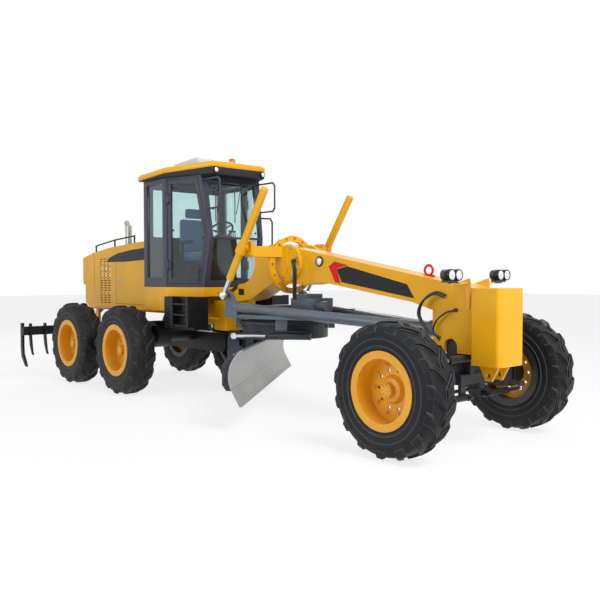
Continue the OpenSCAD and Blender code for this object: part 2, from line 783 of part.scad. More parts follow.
module front_lamps() {
    color("#eab01e") both_sides()
        side_plate(beam_w / 2 + gap, 12) polygon([
            [front_axle_x + 60, 1585], [front_axle_x + 230, 1640], [front_axle_x + 240, 1600],
            [front_axle_x + 230, 1340], [front_axle_x + 190, 1340], [front_axle_x + 180, 1560]
        ]);
    color("#eab01e") both_sides()
        block([front_axle_x + 170, beam_w / 2 + gap + 11, 1585], [front_axle_x + 210, 420, 1600]);
    color("#1f2124") both_sides() for (y = [345, 455])
        translate([front_axle_x + 190, y, 1600 + 70]) rotate([0, 90, 0])
            cylinder(d = 105, h = 90, center = true);
    color("#1f2124") both_sides() block([front_axle_x + 160, 300, 1599], [front_axle_x + 200, 500, 1625]);
}

// ---------- leaning and steering gear ----------

module lean_bracket(side) {
    x = front_axle_x;
    top = lean_z + lean_arm;
    color("#e3a417") on_side(side) difference() {
        union() {
            for (x0 = [x - lean_plate[1], x + lean_plate[0]])
                side_plate_x(x0, lean_plate[1] - lean_plate[0]) polygon([
                    [lean_y - 75, lean_z - 40], [lean_y - 40, lean_z - 78], [730, 562],
                    [730, 738], [lean_y + 60, lean_z + 90], [lean_y + 38, top + 30],
                    [lean_y - 38, top + 30], [lean_y - 60, lean_z + 60]
                ]);
            block([x - lean_plate[1], 715, 562], [x + lean_plate[1], 745, 738]);
            translate([x, king_y, 562]) cylinder(r = 75, h = 176);
            block([x - 75, 735, 562], [x + 75, king_y, 738]);
            translate([x, lean_y, lean_z]) bar_x(60, 250);
            // pin of the leaning bar
            translate([lean_bar_x, lean_y, top]) bar_x(30, 80);
        }
        translate([x, king_y, 550]) cylinder(r = king_r + run, h = 200);
    }
}

// Plate with its outline in Y and Z, from x = x0 to x = x0 + t.
module side_plate_x(x0, t) {
    translate([x0, 0, 0]) rotate([90, 0, 90]) linear_extrude(t) children();
}

module lean_bar() {
    color("#2a2c2f") translate([lean_bar_x, 0, lean_z + lean_arm]) difference() {
        union() {
            bar_y(48, 2 * lean_y);
            both_sides() translate([0, lean_y, 0]) bar_x(64, 50);
        }
        both_sides() translate([0, lean_y, 0]) bar_x(30 + 2 * run, 80);
    }
}

module lean_rod() {
    color("#c9ccd0") translate([lean_rod_x, 0, lean_z + lean_arm]) {
        translate([0, -(120 + lean_y) / 2, 0]) bar_y(42, lean_y - 120);
        translate([0, -lean_y, 0]) bar_x(60, 50);
    }
}

// Ball stud under the rear steering arm, at the tie rod's end.
module tie_stud() {
    translate([front_axle_x - steer_arm, king_y, tie_z]) {
        cylinder(r = 15, h = 77);
        sphere(22);
    }
}

module knuckle(side) {
    x = front_axle_x;
    face = half_track + hub_in;
    color("#e3a417") on_side(side) {
        difference() {
            union() {
                translate([x, king_y, 495]) cylinder(r = 80, h = 61);
                translate([x, king_y, 744]) cylinder(r = 80, h = 61);
                block([x - 80, king_y, 495], [x + 80, face, 556]);
                block([x - 80, king_y, 744], [x + 80, face, 805]);
                block([x - 80, 872, 495], [x + 80, face, 805]);
                // steering arms, back to the tie rod and forward to the cylinder
                block([x - steer_arm, king_y - 30, 495], [x, king_y + 30, 530]);
                translate([x - steer_arm, king_y, 495]) cylinder(r = 40, h = 35);
                block([x, king_y - 30, steer_arm_z], [steer_x, king_y + 30, steer_arm_z + 35]);
                translate([steer_x, king_y, steer_arm_z]) cylinder(r = 38, h = 35);
            }
            if (side == 1) translate([x - steer_arm, king_y, 490]) cylinder(r = 15 + run, h = 50);
        }
        translate([x, king_y, 500]) cylinder(r = king_r, h = 300);
    }
}

module tie_rod_studs() {
    color("#8d9196") tie_stud();
}

module tie_rod() {
    color("#2a2c2f") translate([front_axle_x - steer_arm, 0, tie_z]) difference() {
        union() {
            bar_y(40, 2 * king_y);
            translate([0, king_y, -24]) cylinder(r = 34, h = 42);
            translate([0, -king_y, -24]) cylinder(r = 34, h = 42);
        }
        translate([0, king_y, 0]) {
            sphere(22.3);
            cylinder(r1 = 16, r2 = 33, h = 40);
        }
    }
}

module steering_barrel(side) {
    color("#2a2c2f") on_side(side) translate([steer_x, 0, steer_rod_z]) difference() {
        union() {
            translate([0, (steer_base_y + 540) / 2, 0]) bar_y(66, 540 - steer_base_y);
            translate([0, steer_base_y, 0]) bar_x(66, 60);
        }
        translate([0, steer_base_y, 0]) bar_x(30 + 2 * run, 80);
        translate([0, (210 + 550) / 2, 0]) bar_y(34 + 2 * run, 550 - 210);
    }
}

module steering_rod(side) {
    color("#c9ccd0") on_side(side) translate([steer_x, 0, steer_rod_z]) {
        translate([0, (380 + king_y) / 2, 0]) bar_y(34, king_y - 380);
        translate([0, king_y, -20]) cylinder(r = 27, h = 40);
    }
}

// ---------- articulation cylinders ----------

module artic_axis(side) on_side(side) translate([artic_rear[0], artic_rear[1], artic_z])
    rotate([0, 90, atan2(artic_front[1] - artic_rear[1], artic_front[0] - artic_rear[0])])
        children();

artic_len = norm([artic_front[0] - artic_rear[0], artic_front[1] - artic_rear[1]]);

module artic_barrel(side) {
    color("#2a2c2f") artic_axis(side) {
        difference() {
            union() {
                translate([0, 0, 35]) cylinder(d = 60, h = 30);
                translate([0, 0, 60]) cylinder(d = 100, h = 460);
                rotate([0, 90, 0]) cylinder(d = 84, h = 62, center = true);
            }
            translate([0, 0, 90]) cylinder(d = 50 + 2 * run, h = 500);
            rotate([0, 90, 0]) cylinder(d = 40, h = 80, center = true);
        }
        rotate([0, 90, 0]) cylinder(d = 44 - 2 * run, h = 122, center = true);
    }
}

module artic_rod(side) {
    color("#c9ccd0") artic_axis(side) {
        translate([0, 0, 260]) cylinder(d = 50, h = artic_len - 260 - 30);
        translate([0, 0, artic_len]) rotate([0, 90, 0]) cylinder(d = 84, h = 56, center = true);
        translate([0, 0, artic_len - 40]) cylinder(d = 56, h = 20);
    }
}

// ---------- drawbar, circle and blade ----------

module drawbar() {
    color("#4d5259") {
        difference() {
            union() {
                translate([ball_x - 60, 0, ball_z]) rotate([0, 90, 0]) cylinder(r = ball_r + 30, h = 100);
                both_sides() bar([ball_x - 30, 25, ball_z],
                                 [draw_rear_x, draw_rear_y, draw_rear_z - 10], draw_tube);
                block([draw_rear_x - 70, -draw_rear_y - 40, deck_z[1] - 1],
                      [draw_rear_x + 70, draw_rear_y + 40, draw_rear_z]);
                // deck over the circle, with upright ribs
                translate([0, 0, deck_z[0]]) linear_extrude(deck_z[1] - deck_z[0]) polygon([
                    [960, -640], [960, 640], [1500, 600], [2300, 330], [2300, -330], [1500, -600]
                ]);
                both_sides() side_plate_between([980, 590], [2290, 318], 40, deck_z[1] - 1, 1270);
                // brackets of the lifting cylinders' balls
                both_sides() {
                    block([lift_eye_x - 60, 540, deck_z[0]], [lift_eye_x + 190, 637, 1320]);
                    side_plate(lift_eye_y - 115, 50) polygon([
                        [lift_eye_x - 60, 1200], [lift_eye_x + 190, 1200], [lift_eye_x + 170, 1310],
                        [lift_eye_x + 50, lift_eye_z + 30], [lift_eye_x - 50, lift_eye_z + 30],
                        [lift_eye_x - 62, 1260]
                    ]);
                    translate([lift_eye_x, lift_eye_y - 90, lift_eye_z]) bar_y(104, 50);
                }
                // shoes that carry the circle by its flange
                for (a = [45, 135, 225, 315]) translate([circle_x, 0, 0]) rotate([0, 0, a]) {
                    block([ring_r - 40, -70, ring_top + gap], [ring_r + 50, 70, deck_z[0] + 1]);
                    block([ring_r + 1, -70, shoe_bottom], [ring_r + 50, 70, deck_z[0] + 1]);
                    block([ring_r - ring_step + 4, -70, shoe_bottom],
                          [ring_r + 50, 70, ring_top - flange_t - gap]);
                }
            }
            translate([ball_x, 0, ball_z]) sphere(ball_r + 0.5);
            translate([ball_x, 0, ball_z]) rotate([0, 90, 0]) cylinder(r1 = 34, r2 = 74, h = 100);
            translate([circle_x, 0, 1100]) cylinder(r = 330, h = 85 + 35, $fn = 72);
        }
        // circle drive: gearbox and motor
        block([circle_x + 335, -200, deck_z[1] + gap], [circle_x + 680, 180, 1400]);
        block([circle_x + 360, -150, 1399], [circle_x + 560, 120, 1450]);
        translate([circle_x + 760, -60, 1300]) bar_x(130, 170);
    }
}

// Upright plate of thickness t between two points of the plan.
module side_plate_between(p, q, t, z0, z1) {
    v = q - p;
    translate([p[0], p[1], z0]) rotate([0, 0, atan2(v[1], v[0])])
        translate([0, -t / 2, 0]) cube([norm(v), t, z1 - z0]);
}

// Circle through three points: [centre x, centre y, radius].
function circle_of(a, b, c) = let (
        d = 2 * (a[0] * (b[1] - c[1]) + b[0] * (c[1] - a[1]) + c[0] * (a[1] - b[1])),
        x = (a * a * (b[1] - c[1]) + b * b * (c[1] - a[1]) + c * c * (a[1] - b[1])) / d,
        y = (a * a * (c[0] - b[0]) + b * b * (a[0] - c[0]) + c * c * (b[0] - a[0])) / d)
    [x, y, norm(a - [x, y])];

edge_h = 190;
edge_back = 100;
board_foot = [-blade_back - edge_back, blade_clear + edge_h];
board_belly = [-blade_back - 123, blade_clear + 0.62 * blade_h];
board_lip = [-blade_back + 12, blade_clear + blade_h];
board_arc = circle_of(board_foot, board_belly, board_lip);

// Points of the board's face, from foot to lip, moved back by off.
function board_line(off) = let (
        c = [board_arc[0], board_arc[1]],
        a0 = atan2(board_foot[1] - c[1], board_foot[0] - c[0]) + 360,
        a1 = atan2(board_lip[1] - c[1], board_lip[0] - c[0]))
    [for (i = [0 : 12]) let (a = a0 + (a1 - a0) * i / 12)
        c + (board_arc[2] + off) * [cos(a), sin(a)]];

// The blade's middle, moved along the blade by its side shift.
module blade_frame() circle_frame() translate([0, blade_shift, 0]) children();

module mouldboard() {
    back = board_line(board_t);
    color("#9b9fa3") blade_frame() side_plate(-blade_len / 2, blade_len) difference() {
        polygon(concat(board_line(0), [for (i = [len(back) - 1 : -1 : 0]) back[i]]));
        translate([-blade_back - 300, board_foot[1] - 100]) square([400, 100]);
    }
    color("#3d4046") blade_frame() {
        // rails on the back, and the lug of the shifting rod
        difference() {
            union() {
                for (z = rail_zs) block([rail_n[0], -1250, z], [rail_n[1] + 30, 1250, z + rail_h]);
                block([shift_n - 30, shift_lug_y - 15, rail_zs[0] + 20],
                      [rail_n[1] + 30, shift_lug_y + 15, rail_zs[1] + 20]);
            }
            side_plate(-1300, 2600) polygon(concat(
                board_line(board_t / 2), [[0, blade_clear + blade_h], [0, blade_clear]]));
        }
    }
}

module cutting_edge() {
    color("#7d8185") blade_frame() side_plate(-blade_len / 2, blade_len) polygon([
        [-blade_back, blade_clear], [-blade_back - edge_back + 2, blade_clear + edge_h - gap],
        [-blade_back - edge_back - 22, blade_clear + edge_h - gap],
        [-blade_back - 24, blade_clear]
    ]);
}

module shift_rod() {
    color("#c9ccd0") blade_frame()
        translate([shift_n, (shift_lug_y - 15 - gap - 90) / 2, shift_z])
            bar_y(34, shift_lug_y - 15 - gap + 90);
}

// Side view of the carriage's plates; the right one reaches up to the pitch cylinder.
module carriage_plate(reach) {
    difference() {
        union() {
            polygon(concat(
                [[-388, 450], [-388, 795], [-470, 830]],
                reach ? [[pitch_eye_n + 45, pitch_eye_z], [pitch_eye_n + 30, pitch_eye_z + 38],
                         [pitch_eye_n - 30, pitch_eye_z + 38], [pitch_eye_n - 45, pitch_eye_z]]
                      : [[-580, 830]],
                [[-615, 780], [pivot_n - 62, pivot_z], [pivot_n, pivot_z - 62]]));
            translate([pivot_n, pivot_z]) circle(62);
        }
        translate([pivot_n, pivot_z]) circle(25 + run);
        for (z = rail_zs) translate([rail_n[0] - gap, z - gap]) square([200, rail_h + 2 * gap]);
        translate([shift_n, shift_z]) circle(24);
    }
}

module blade_carriage() {
    color("#3d4046") circle_frame() {
        side_plate(plate_y[0], plate_y[1] - plate_y[0]) carriage_plate(false);
        side_plate(-plate_y[1], plate_y[1] - plate_y[0]) carriage_plate(true);
        // cross plate between the rails, with the side shift cylinder clamped to it
        block([-481, -plate_y[0] - 1, 560], [-456, plate_y[0] + 1, 725]);
        for (y = [-500, 470]) block([-457, y, shift_z - 25], [shift_n - 22, y + 30, shift_z + 25]);
        difference() {
            translate([shift_n, 0, shift_z]) bar_y(58, 1130);
            translate([shift_n, 20, shift_z]) bar_y(34 + 2 * run, 1130);
        }
    }
}

// Side view of an arm: a beam along the circle and a leg down to the blade's pivot.
module circle_arm() {
    difference() {
        union() {
            polygon([
                [390, ring_bottom], [390, arm_top], [-600, arm_top], [-625, 900], [-622, 560],
                [pivot_n - 60, pivot_z], [pivot_n + 60, pivot_z], [-510, 600], [-512, ring_bottom]
            ]);
            translate([pivot_n, pivot_z]) circle(60);
        }
        translate([pivot_n, pivot_z]) circle(25);
    }
}

module circle_ring() {
    color("#33363b") circle_frame() {
        translate([0, 0, ring_bottom]) difference() {
            union() {
                cylinder(r = ring_r - ring_step, h = ring_top - ring_bottom, $fn = 96);
                translate([0, 0, ring_top - ring_bottom - flange_t])
                    cylinder(r = ring_r, h = flange_t, $fn = 96);
            }
            translate([0, 0, -1]) cylinder(r = ring_r - ring_step - ring_wall, h = 400, $fn = 96);
        }
        both_sides() {
            side_plate(arm_y[0], arm_y[1] - arm_y[0]) circle_arm();
            translate([pivot_n, arm_y[1] + 25, pivot_z]) bar_y(50, 80);
            translate([pivot_n, arm_y[0] + 20, pivot_z]) bar_y(50, 80);
        }
        // bracket and pin of the pitch cylinder
        block([pitch_base_n - 40, -plate_y[1], pitch_base_z - 35],
              [pitch_base_n + 40, -arm_y[0], arm_top]);
        translate([pitch_base_n, pitch_y + 8, pitch_base_z]) bar_y(30, 96);
    }
}

pitch_len = norm([pitch_eye_n - pitch_base_n, pitch_eye_z - pitch_base_z]);

// Along +X here the pitch cylinder points back to its eye; the origin is at its base.
module pitch_axis() circle_frame() translate([pitch_base_n, pitch_y, pitch_base_z])
    rotate([0, 180, 0]) children();

module pitch_barrel() {
    color("#33363b") pitch_axis() difference() {
        union() {
            rotate([0, 90, 0]) cylinder(d = 70, h = 490);
            bar_y(74, 44);
        }
        bar_y(30 + 2 * run, 80);
        translate([48, 0, 0]) rotate([0, 90, 0]) cylinder(d = 36 + 2 * run, h = 500);
    }
}

module pitch_rod() {
    color("#c9ccd0") pitch_axis() {
        translate([315, 0, 0]) rotate([0, 90, 0]) cylinder(d = 36, h = pitch_len - 315);
        translate([pitch_len, 0, 0]) bar_y(72, 44);
    }
}

// ---------- lifting cylinders ----------

lift_dir = [lift_eye_x - saddle_x, lift_eye_z - saddle_z];
lift_tilt = atan2(-lift_dir[0], -lift_dir[1]);
lift_len = norm(lift_dir);

// Along +Z here the cylinder points down to its eye; the origin is at the trunnion.
module lift_axis(side) on_side(side) translate([saddle_x, saddle_y, saddle_z])
    rotate([0, 180 + lift_tilt, 0]) children();

module lift_barrel(side) {
    color("#e9b93a") lift_axis(side) difference() {
        union() {
            translate([0, 0, -820]) cylinder(d = 92, h = 820 + 440);
            translate([0, 0, -60]) cylinder(d = 130, h = 120);
            translate([0, -83, 0]) bar_y(60, 84);
        }
        translate([0, 0, -760]) cylinder(d = 56 + 2 * run, h = 1300);
    }
}

module lift_rod(side) {
    color("#c9ccd0") lift_axis(side) {
        translate([0, 0, -500]) cylinder(d = 56, h = 500 + lift_len - 40);
        translate([0, 0, lift_len]) sphere(55);
    }
}

// ---------- ripper ----------

// Outline of a ripper shank, back from its bolt line at x = 0 and down to its tip.
module shank(tip_z, reach) {
    polygon([
        [-45, ripper_beam_z[1] + 60], [-45, tip_z + 330], [-20, tip_z + 170],
        [reach - 50, tip_z + 10], [reach, tip_z], [reach - 40, tip_z + 70],
        [50, tip_z + 210], [35, tip_z + 340], [35, ripper_beam_z[1] + 60]
    ]);
}

module ripper() {
    mid = (ripper_beam_x[0] + ripper_beam_x[1]) / 2;
    color("#2b2f36") {
        block([ripper_beam_x[0], -ripper_len / 2, ripper_beam_z[0]],
              [ripper_beam_x[1], ripper_len / 2, ripper_beam_z[1]]);
        for (y = [-1, 0, 1] * (ripper_len / 2 - 40))
            translate([ripper_beam_x[0] - 34, 0, 0]) side_plate(y - 20, 40) shank(90, 190);
        for (i = [0 : 8]) if (i != 4)
            translate([ripper_beam_x[1] + 40, 0, 0]) side_plate((i - 4) * 260 - 14, 28)
                shank(300, 120);
        both_sides() difference() {
            side_plate(295 + side_gap, 45) polygon([
                [ripper_beam_x[1] - 10, ripper_beam_z[0] + 20], [ripper_beam_x[1] - 10, ripper_beam_z[1] - 10],
                [ripper_pivot_x - 40, ripper_pivot_z + 60], [ripper_pivot_x + 40, ripper_pivot_z + 40],
                [ripper_pivot_x + 50, ripper_pivot_z - 20], [ripper_pivot_x, ripper_pivot_z - 60]
            ]);
            translate([ripper_pivot_x, 320, ripper_pivot_z]) bar_y(50 + 2 * run, 100);
        }
        // lugs of the cylinder's eye
        for (y = [-55, 33]) side_plate(y, 22) polygon([
            [ripper_beam_x[1] - 10, ripper_beam_z[0] + 10], [ripper_beam_x[1] - 10, ripper_beam_z[1] - 10],
            [ripper_eye_x - 40, ripper_eye_z + 20], [ripper_eye_x + 30, ripper_eye_z + 30],
            [ripper_eye_x + 40, ripper_eye_z - 30]
        ]);
        translate([-4150, 0, 715]) bar_y(70, 2 * 302);
    }
}

ripper_d = [ripper_eye_x - ripper_base_x, ripper_eye_z - ripper_base_z];
ripper_cyl_len = norm(ripper_d);

// Along +X here the ripper's cylinder points back to its eye; the origin is at its base.
module ripper_axis() translate([ripper_base_x, 0, ripper_base_z])
    rotate([0, -atan2(ripper_d[1], ripper_d[0]), 0]) children();

module ripper_barrel() {
    color("#2b2f36") ripper_axis() difference() {
        union() {
            rotate([0, 90, 0]) cylinder(d = 92, h = 590);
            bar_y(88, 90);
        }
        bar_y(40 + 2 * run, 100);
        translate([70, 0, 0]) rotate([0, 90, 0]) cylinder(d = 50 + 2 * run, h = 600);
    }
}

module ripper_rod() {
    color("#c9ccd0") ripper_axis() {
        translate([400, 0, 0]) rotate([0, 90, 0]) cylinder(d = 50, h = ripper_cyl_len - 400);
        translate([ripper_cyl_len, 0, 0]) bar_y(80, 52);
    }
}

// ---------- what is drawn ----------

rear_frame();
tandem_axle();
hood();
engine();
exhaust();
cab_frame();
cab_roof();
cab_glass();
cab_interior();
steps_and_rails();
side_tanks();
front_frame();
saddle();
front_axle();
front_lamps();
lean_bracket(1);  // lean_bracket_left
lean_bracket(-1);  // lean_bracket_right
lean_bar();
lean_rod();
knuckle(1);  // knuckle_left
knuckle(-1);  // knuckle_right
tie_rod_studs();
tie_rod();
steering_barrel(1);  // steering_barrel_left
steering_barrel(-1);  // steering_barrel_right
steering_rod(1);  // steering_rod_left
steering_rod(-1);  // steering_rod_right
wheel_at(front_axle_x, 1) tyre();  // tyre_front_left
wheel_at(front_axle_x, -1) tyre();  // tyre_front_right
wheel_at(mid_x, 1) tyre();  // tyre_mid_left
wheel_at(mid_x, -1) tyre();  // tyre_mid_right
wheel_at(rear_x, 1) tyre();  // tyre_rear_left
wheel_at(rear_x, -1) tyre();  // tyre_rear_right
wheel_at(front_axle_x, 1) rim();  // rim_front_left
wheel_at(front_axle_x, -1) rim();  // rim_front_right
wheel_at(mid_x, 1) rim();  // rim_mid_left
wheel_at(mid_x, -1) rim();  // rim_mid_right
wheel_at(rear_x, 1) rim();  // rim_rear_left
wheel_at(rear_x, -1) rim();  // rim_rear_right
artic_barrel(1);  // artic_barrel_left
artic_barrel(-1);  // artic_barrel_right
artic_rod(1);  // artic_rod_left
artic_rod(-1);  // artic_rod_right
drawbar();
circle_ring();  // circle
pitch_barrel();
pitch_rod();
blade_carriage();
mouldboard();
cutting_edge();
shift_rod();
lift_barrel(1);  // lift_barrel_left
lift_barrel(-1);  // lift_barrel_right
lift_rod(1);  // lift_rod_left
lift_rod(-1);  // lift_rod_right
ripper();
ripper_barrel();
ripper_rod();
door(1);  // door_left
door(-1);  // door_right
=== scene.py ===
# %% [markdown]
# # Dressing a motor grader
# A motor grader is a long machine that cuts a level road with one wide blade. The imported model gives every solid
# and every joint. This lesson adds the paint, rubber, glass, hoses and small parts, each tied to the body it rides on.
# Everything is in metres: +X is forward, +Y is the machine's left, +Z is up.

# %% Load the frame
import math
import bpy
import bmesh
from mathutils import Matrix, Vector


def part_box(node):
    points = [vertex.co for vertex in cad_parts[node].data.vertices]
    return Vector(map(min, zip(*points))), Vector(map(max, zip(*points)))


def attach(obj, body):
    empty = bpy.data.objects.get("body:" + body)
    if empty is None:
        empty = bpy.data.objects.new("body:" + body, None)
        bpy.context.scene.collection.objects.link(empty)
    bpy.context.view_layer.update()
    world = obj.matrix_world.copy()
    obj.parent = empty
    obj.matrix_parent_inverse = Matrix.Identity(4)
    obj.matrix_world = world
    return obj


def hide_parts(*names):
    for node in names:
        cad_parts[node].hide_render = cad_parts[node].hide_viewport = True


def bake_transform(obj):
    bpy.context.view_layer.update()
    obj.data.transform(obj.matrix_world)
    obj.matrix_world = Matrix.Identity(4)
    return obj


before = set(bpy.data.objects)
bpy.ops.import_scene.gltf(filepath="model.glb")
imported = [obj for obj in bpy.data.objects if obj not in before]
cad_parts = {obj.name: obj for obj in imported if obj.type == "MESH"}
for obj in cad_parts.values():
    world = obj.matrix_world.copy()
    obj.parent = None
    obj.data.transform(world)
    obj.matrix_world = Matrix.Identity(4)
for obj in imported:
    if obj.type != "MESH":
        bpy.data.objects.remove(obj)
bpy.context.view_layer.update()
scene = bpy.context.scene
BLADE_TURN = math.radians(41)
WHEEL_R = 0.63
AXLE_X, MID_X, REAR_X = 4.05, -0.97, -2.53
HALF_TRACK = 1.01
BEAM_Y = 0.15
CAB_TOP = ROOF_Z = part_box("cab_frame")[1][2]

# %% [markdown]
# ## Camera, floor and light
# The camera stands ahead of the machine's right front corner at a person's eye height. A 44 mm lens keeps the long
# frame in natural perspective. The floor is a pale sheet that is white to the camera but still takes the shadow.

# %% Camera
yaw, pitch, roll = math.radians(138.49), math.radians(-1.76), math.radians(-0.11)
look = Vector((math.cos(pitch) * math.cos(yaw), math.cos(pitch) * math.sin(yaw), math.sin(pitch)))
camera = bpy.data.objects.new("camera", bpy.data.cameras.new("camera"))
camera.data.lens = 43.86
camera.data.sensor_width = 36
camera.data.clip_end = 200
turn = look.to_track_quat("-Z", "Y").to_matrix() @ Matrix.Rotation(roll, 3, "Z")
camera.matrix_world = Matrix.Translation((8.445, -6.015, 1.649)) @ turn.to_4x4()
scene.collection.objects.link(camera)
scene.camera = camera


# %% Node helpers
def linear(hex_colour):
    """A colour from the paint chart, as Blender's linear values."""
    parts = [int(hex_colour[i:i + 2], 16) / 255 for i in (1, 3, 5)]
    return [c / 12.92 if c < 0.04045 else ((c + 0.055) / 1.055) ** 2.4 for c in parts] + [1.0]


def add(tree, kind, links=None, **values):
    """One node: links maps its inputs to other sockets, values sets its properties or plain inputs."""
    n = tree.nodes.new("ShaderNode" + kind)
    for key, value in values.items():
        if hasattr(n, key):
            setattr(n, key, value)
        else:
            n.inputs[key.replace("_", " ")].default_value = value
    for key, source in (links or {}).items():
        tree.links.new(source, n.inputs[key])
    return n


def group(name, inputs, outputs):
    """An empty shader group with named sockets: inputs are (name, type, value), outputs are (name, type)."""
    g = bpy.data.node_groups.new(name, "ShaderNodeTree")
    for label, kind, value in inputs:
        socket = g.interface.new_socket(name=label, in_out="INPUT", socket_type="NodeSocket" + kind)
        socket.default_value = value
    for label, kind in outputs:
        g.interface.new_socket(name=label, in_out="OUTPUT", socket_type="NodeSocket" + kind)
    return g, g.nodes.new("NodeGroupInput"), g.nodes.new("NodeGroupOutput")


def place(tree, node_group, links=None, **values):
    n = tree.nodes.new("ShaderNodeGroup")
    n.node_tree = node_group
    for key, value in values.items():
        n.inputs[key.replace("_", " ")].default_value = value
    for key, source in (links or {}).items():
        tree.links.new(source, n.inputs[key])
    return n


# %% Floor and lamps
floor_mat = bpy.data.materials.new("floor")
floor_mat.use_nodes = True
ft = floor_mat.node_tree
shade = ft.nodes["Principled BSDF"]
shade.inputs["Base Color"].default_value = (0.93, 0.93, 0.93, 1)
shade.inputs["Roughness"].default_value = 0.9
shade.inputs["Specular IOR Level"].default_value = 0.1


def plain_view(tree, most):
    """Up to most where the surface is seen directly, in a mirror or through glass, and 0 where it lights things."""
    rays = add(tree, "LightPath")
    first = add(tree, "Math", {0: rays.outputs["Is Camera Ray"], 1: rays.outputs["Is Transmission Ray"]},
                operation="MAXIMUM")
    any_of = add(tree, "Math", {0: first.outputs[0], 1: rays.outputs["Is Glossy Ray"]}, operation="MAXIMUM")
    part_of = add(tree, "Math", {0: any_of.outputs[0]}, operation="MULTIPLY")
    part_of.inputs[1].default_value = most
    return part_of


seen = plain_view(ft, 0.80)
glow = add(ft, "Emission", Color=(1, 1, 1, 1), Strength=1.0)
both = add(ft, "MixShader", {0: seen.outputs[0], 1: shade.outputs[0], 2: glow.outputs[0]})
ft.links.new(both.outputs[0], ft.nodes["Material Output"].inputs["Surface"])
bm = bmesh.new()
bmesh.ops.create_grid(bm, x_segments=1, y_segments=1, size=60)
mesh = bpy.data.meshes.new("floor")
bm.to_mesh(mesh)
bm.free()
mesh.materials.append(floor_mat)
floor = bpy.data.objects.new("floor", mesh)
floor.location.z = -0.002
scene.collection.objects.link(floor)

world = bpy.data.worlds.new("studio")
scene.world = world
world.use_nodes = True
wt = world.node_tree
back = wt.nodes["Background"]
back.inputs["Color"].default_value = (0.90, 0.94, 1.0, 1)
back.inputs["Strength"].default_value = 0.44
white = add(wt, "Background", Color=(1, 1, 1, 1), Strength=1.0)
pick = add(wt, "MixShader", {0: plain_view(wt, 1.0).outputs[0], 1: back.outputs[0], 2: white.outputs[0]})
wt.links.new(pick.outputs[0], wt.nodes["World Output"].inputs["Surface"])


def lamp(name, at, target, size, power, colour=(1, 1, 1)):
    light = bpy.data.lights.new(name, "AREA")
    light.shape = "DISK"
    light.size = size
    light.energy = power
    light.color = colour
    o = bpy.data.objects.new(name, light)
    o.location = at
    o.rotation_euler = (Vector(target) - Vector(at)).to_track_quat("-Z", "Y").to_euler()
    scene.collection.objects.link(o)


lamp("key", (11, -1.5, 9), (1.5, 0, 0.8), 5.0, 1120, (1, 0.98, 0.95))
lamp("fill", (1, -13, 6), (0, 0, 1), 7.0, 500, (0.95, 0.98, 1))
lamp("rim", (-9, 7, 8), (-1, 0, 1), 5.0, 450)
scene.view_settings.view_transform = "Standard"

# %% [markdown]
# ## Finishes
# New machine paint is thick and glossy, yet no real panel is flat colour: edges catch light because they are
# rounded, the enamel ripples a little, and dust settles on tops and near the ground. Three shared groups make those
# effects, and each finish places them with its own values.

# %% Shared effects
# Rounded edges: the bevelled normal, and a mask of how sharp the edge is.
EDGE, gi, go = group("rounded edges", [("Radius", "Float", 0.006)], [("Normal", "Vector"), ("Edge", "Float")])
bev = add(EDGE, "Bevel", {"Radius": gi.outputs["Radius"]}, samples=4)
geo = add(EDGE, "NewGeometry")
dot = add(EDGE, "VectorMath", {0: bev.outputs[0], 1: geo.outputs["Normal"]}, operation="DOT_PRODUCT")
sharp = add(EDGE, "MapRange", {"Value": dot.outputs["Value"]}, From_Min=0.985, From_Max=0.86)
EDGE.links.new(bev.outputs[0], go.inputs["Normal"])
EDGE.links.new(sharp.outputs[0], go.inputs["Edge"])

# Dust: more of it low down and on faces that look up, broken by two sizes of cloud.
DUST, gi, go = group("settled dust", [("Reach", "Float", 0.7), ("Amount", "Float", 0.3)], [("Mask", "Float")])
co = add(DUST, "TexCoord")
cloud = add(DUST, "TexNoise", {"Vector": co.outputs["Object"]}, Scale=3.1, Detail=6.0, Roughness=0.65)
sep = add(DUST, "SeparateXYZ", {0: co.outputs["Object"]})
low = add(DUST, "MapRange", {"Value": sep.outputs["Z"], "From Max": gi.outputs["Reach"]}, From_Min=0.0,
          To_Min=1.0, To_Max=0.0)
up = add(DUST, "SeparateXYZ", {0: add(DUST, "NewGeometry").outputs["Normal"]})
top = add(DUST, "MapRange", {"Value": up.outputs["Z"]}, From_Min=0.3, From_Max=1.0, To_Max=0.45)
most = add(DUST, "Math", {0: low.outputs[0], 1: top.outputs[0]}, operation="MAXIMUM")
spots = add(DUST, "MapRange", {"Value": cloud.outputs["Fac"]}, From_Min=0.35, From_Max=0.7)
part = add(DUST, "Math", {0: most.outputs[0], 1: spots.outputs[0]}, operation="MULTIPLY")
all_of = add(DUST, "Math", {0: part.outputs[0], 1: gi.outputs["Amount"]}, operation="MULTIPLY")
DUST.links.new(all_of.outputs[0], go.inputs["Mask"])

# Ripple and grain: a height for the bump, and a slow drift of tone.
GRAIN, gi, go = group("ripple and grain", [("Fine", "Float", 160.0), ("Broad", "Float", 2.2)],
                      [("Height", "Float"), ("Tone", "Float")])
co = add(GRAIN, "TexCoord")
fine = add(GRAIN, "TexNoise", {"Vector": co.outputs["Object"], "Scale": gi.outputs["Fine"]}, Detail=3.0)
broad = add(GRAIN, "TexNoise", {"Vector": co.outputs["Object"], "Scale": gi.outputs["Broad"]}, Detail=4.0)
tone = add(GRAIN, "MapRange", {"Value": broad.outputs["Fac"]}, From_Min=0.3, From_Max=0.7)
GRAIN.links.new(fine.outputs["Fac"], go.inputs["Height"])
GRAIN.links.new(tone.outputs[0], go.inputs["Tone"])

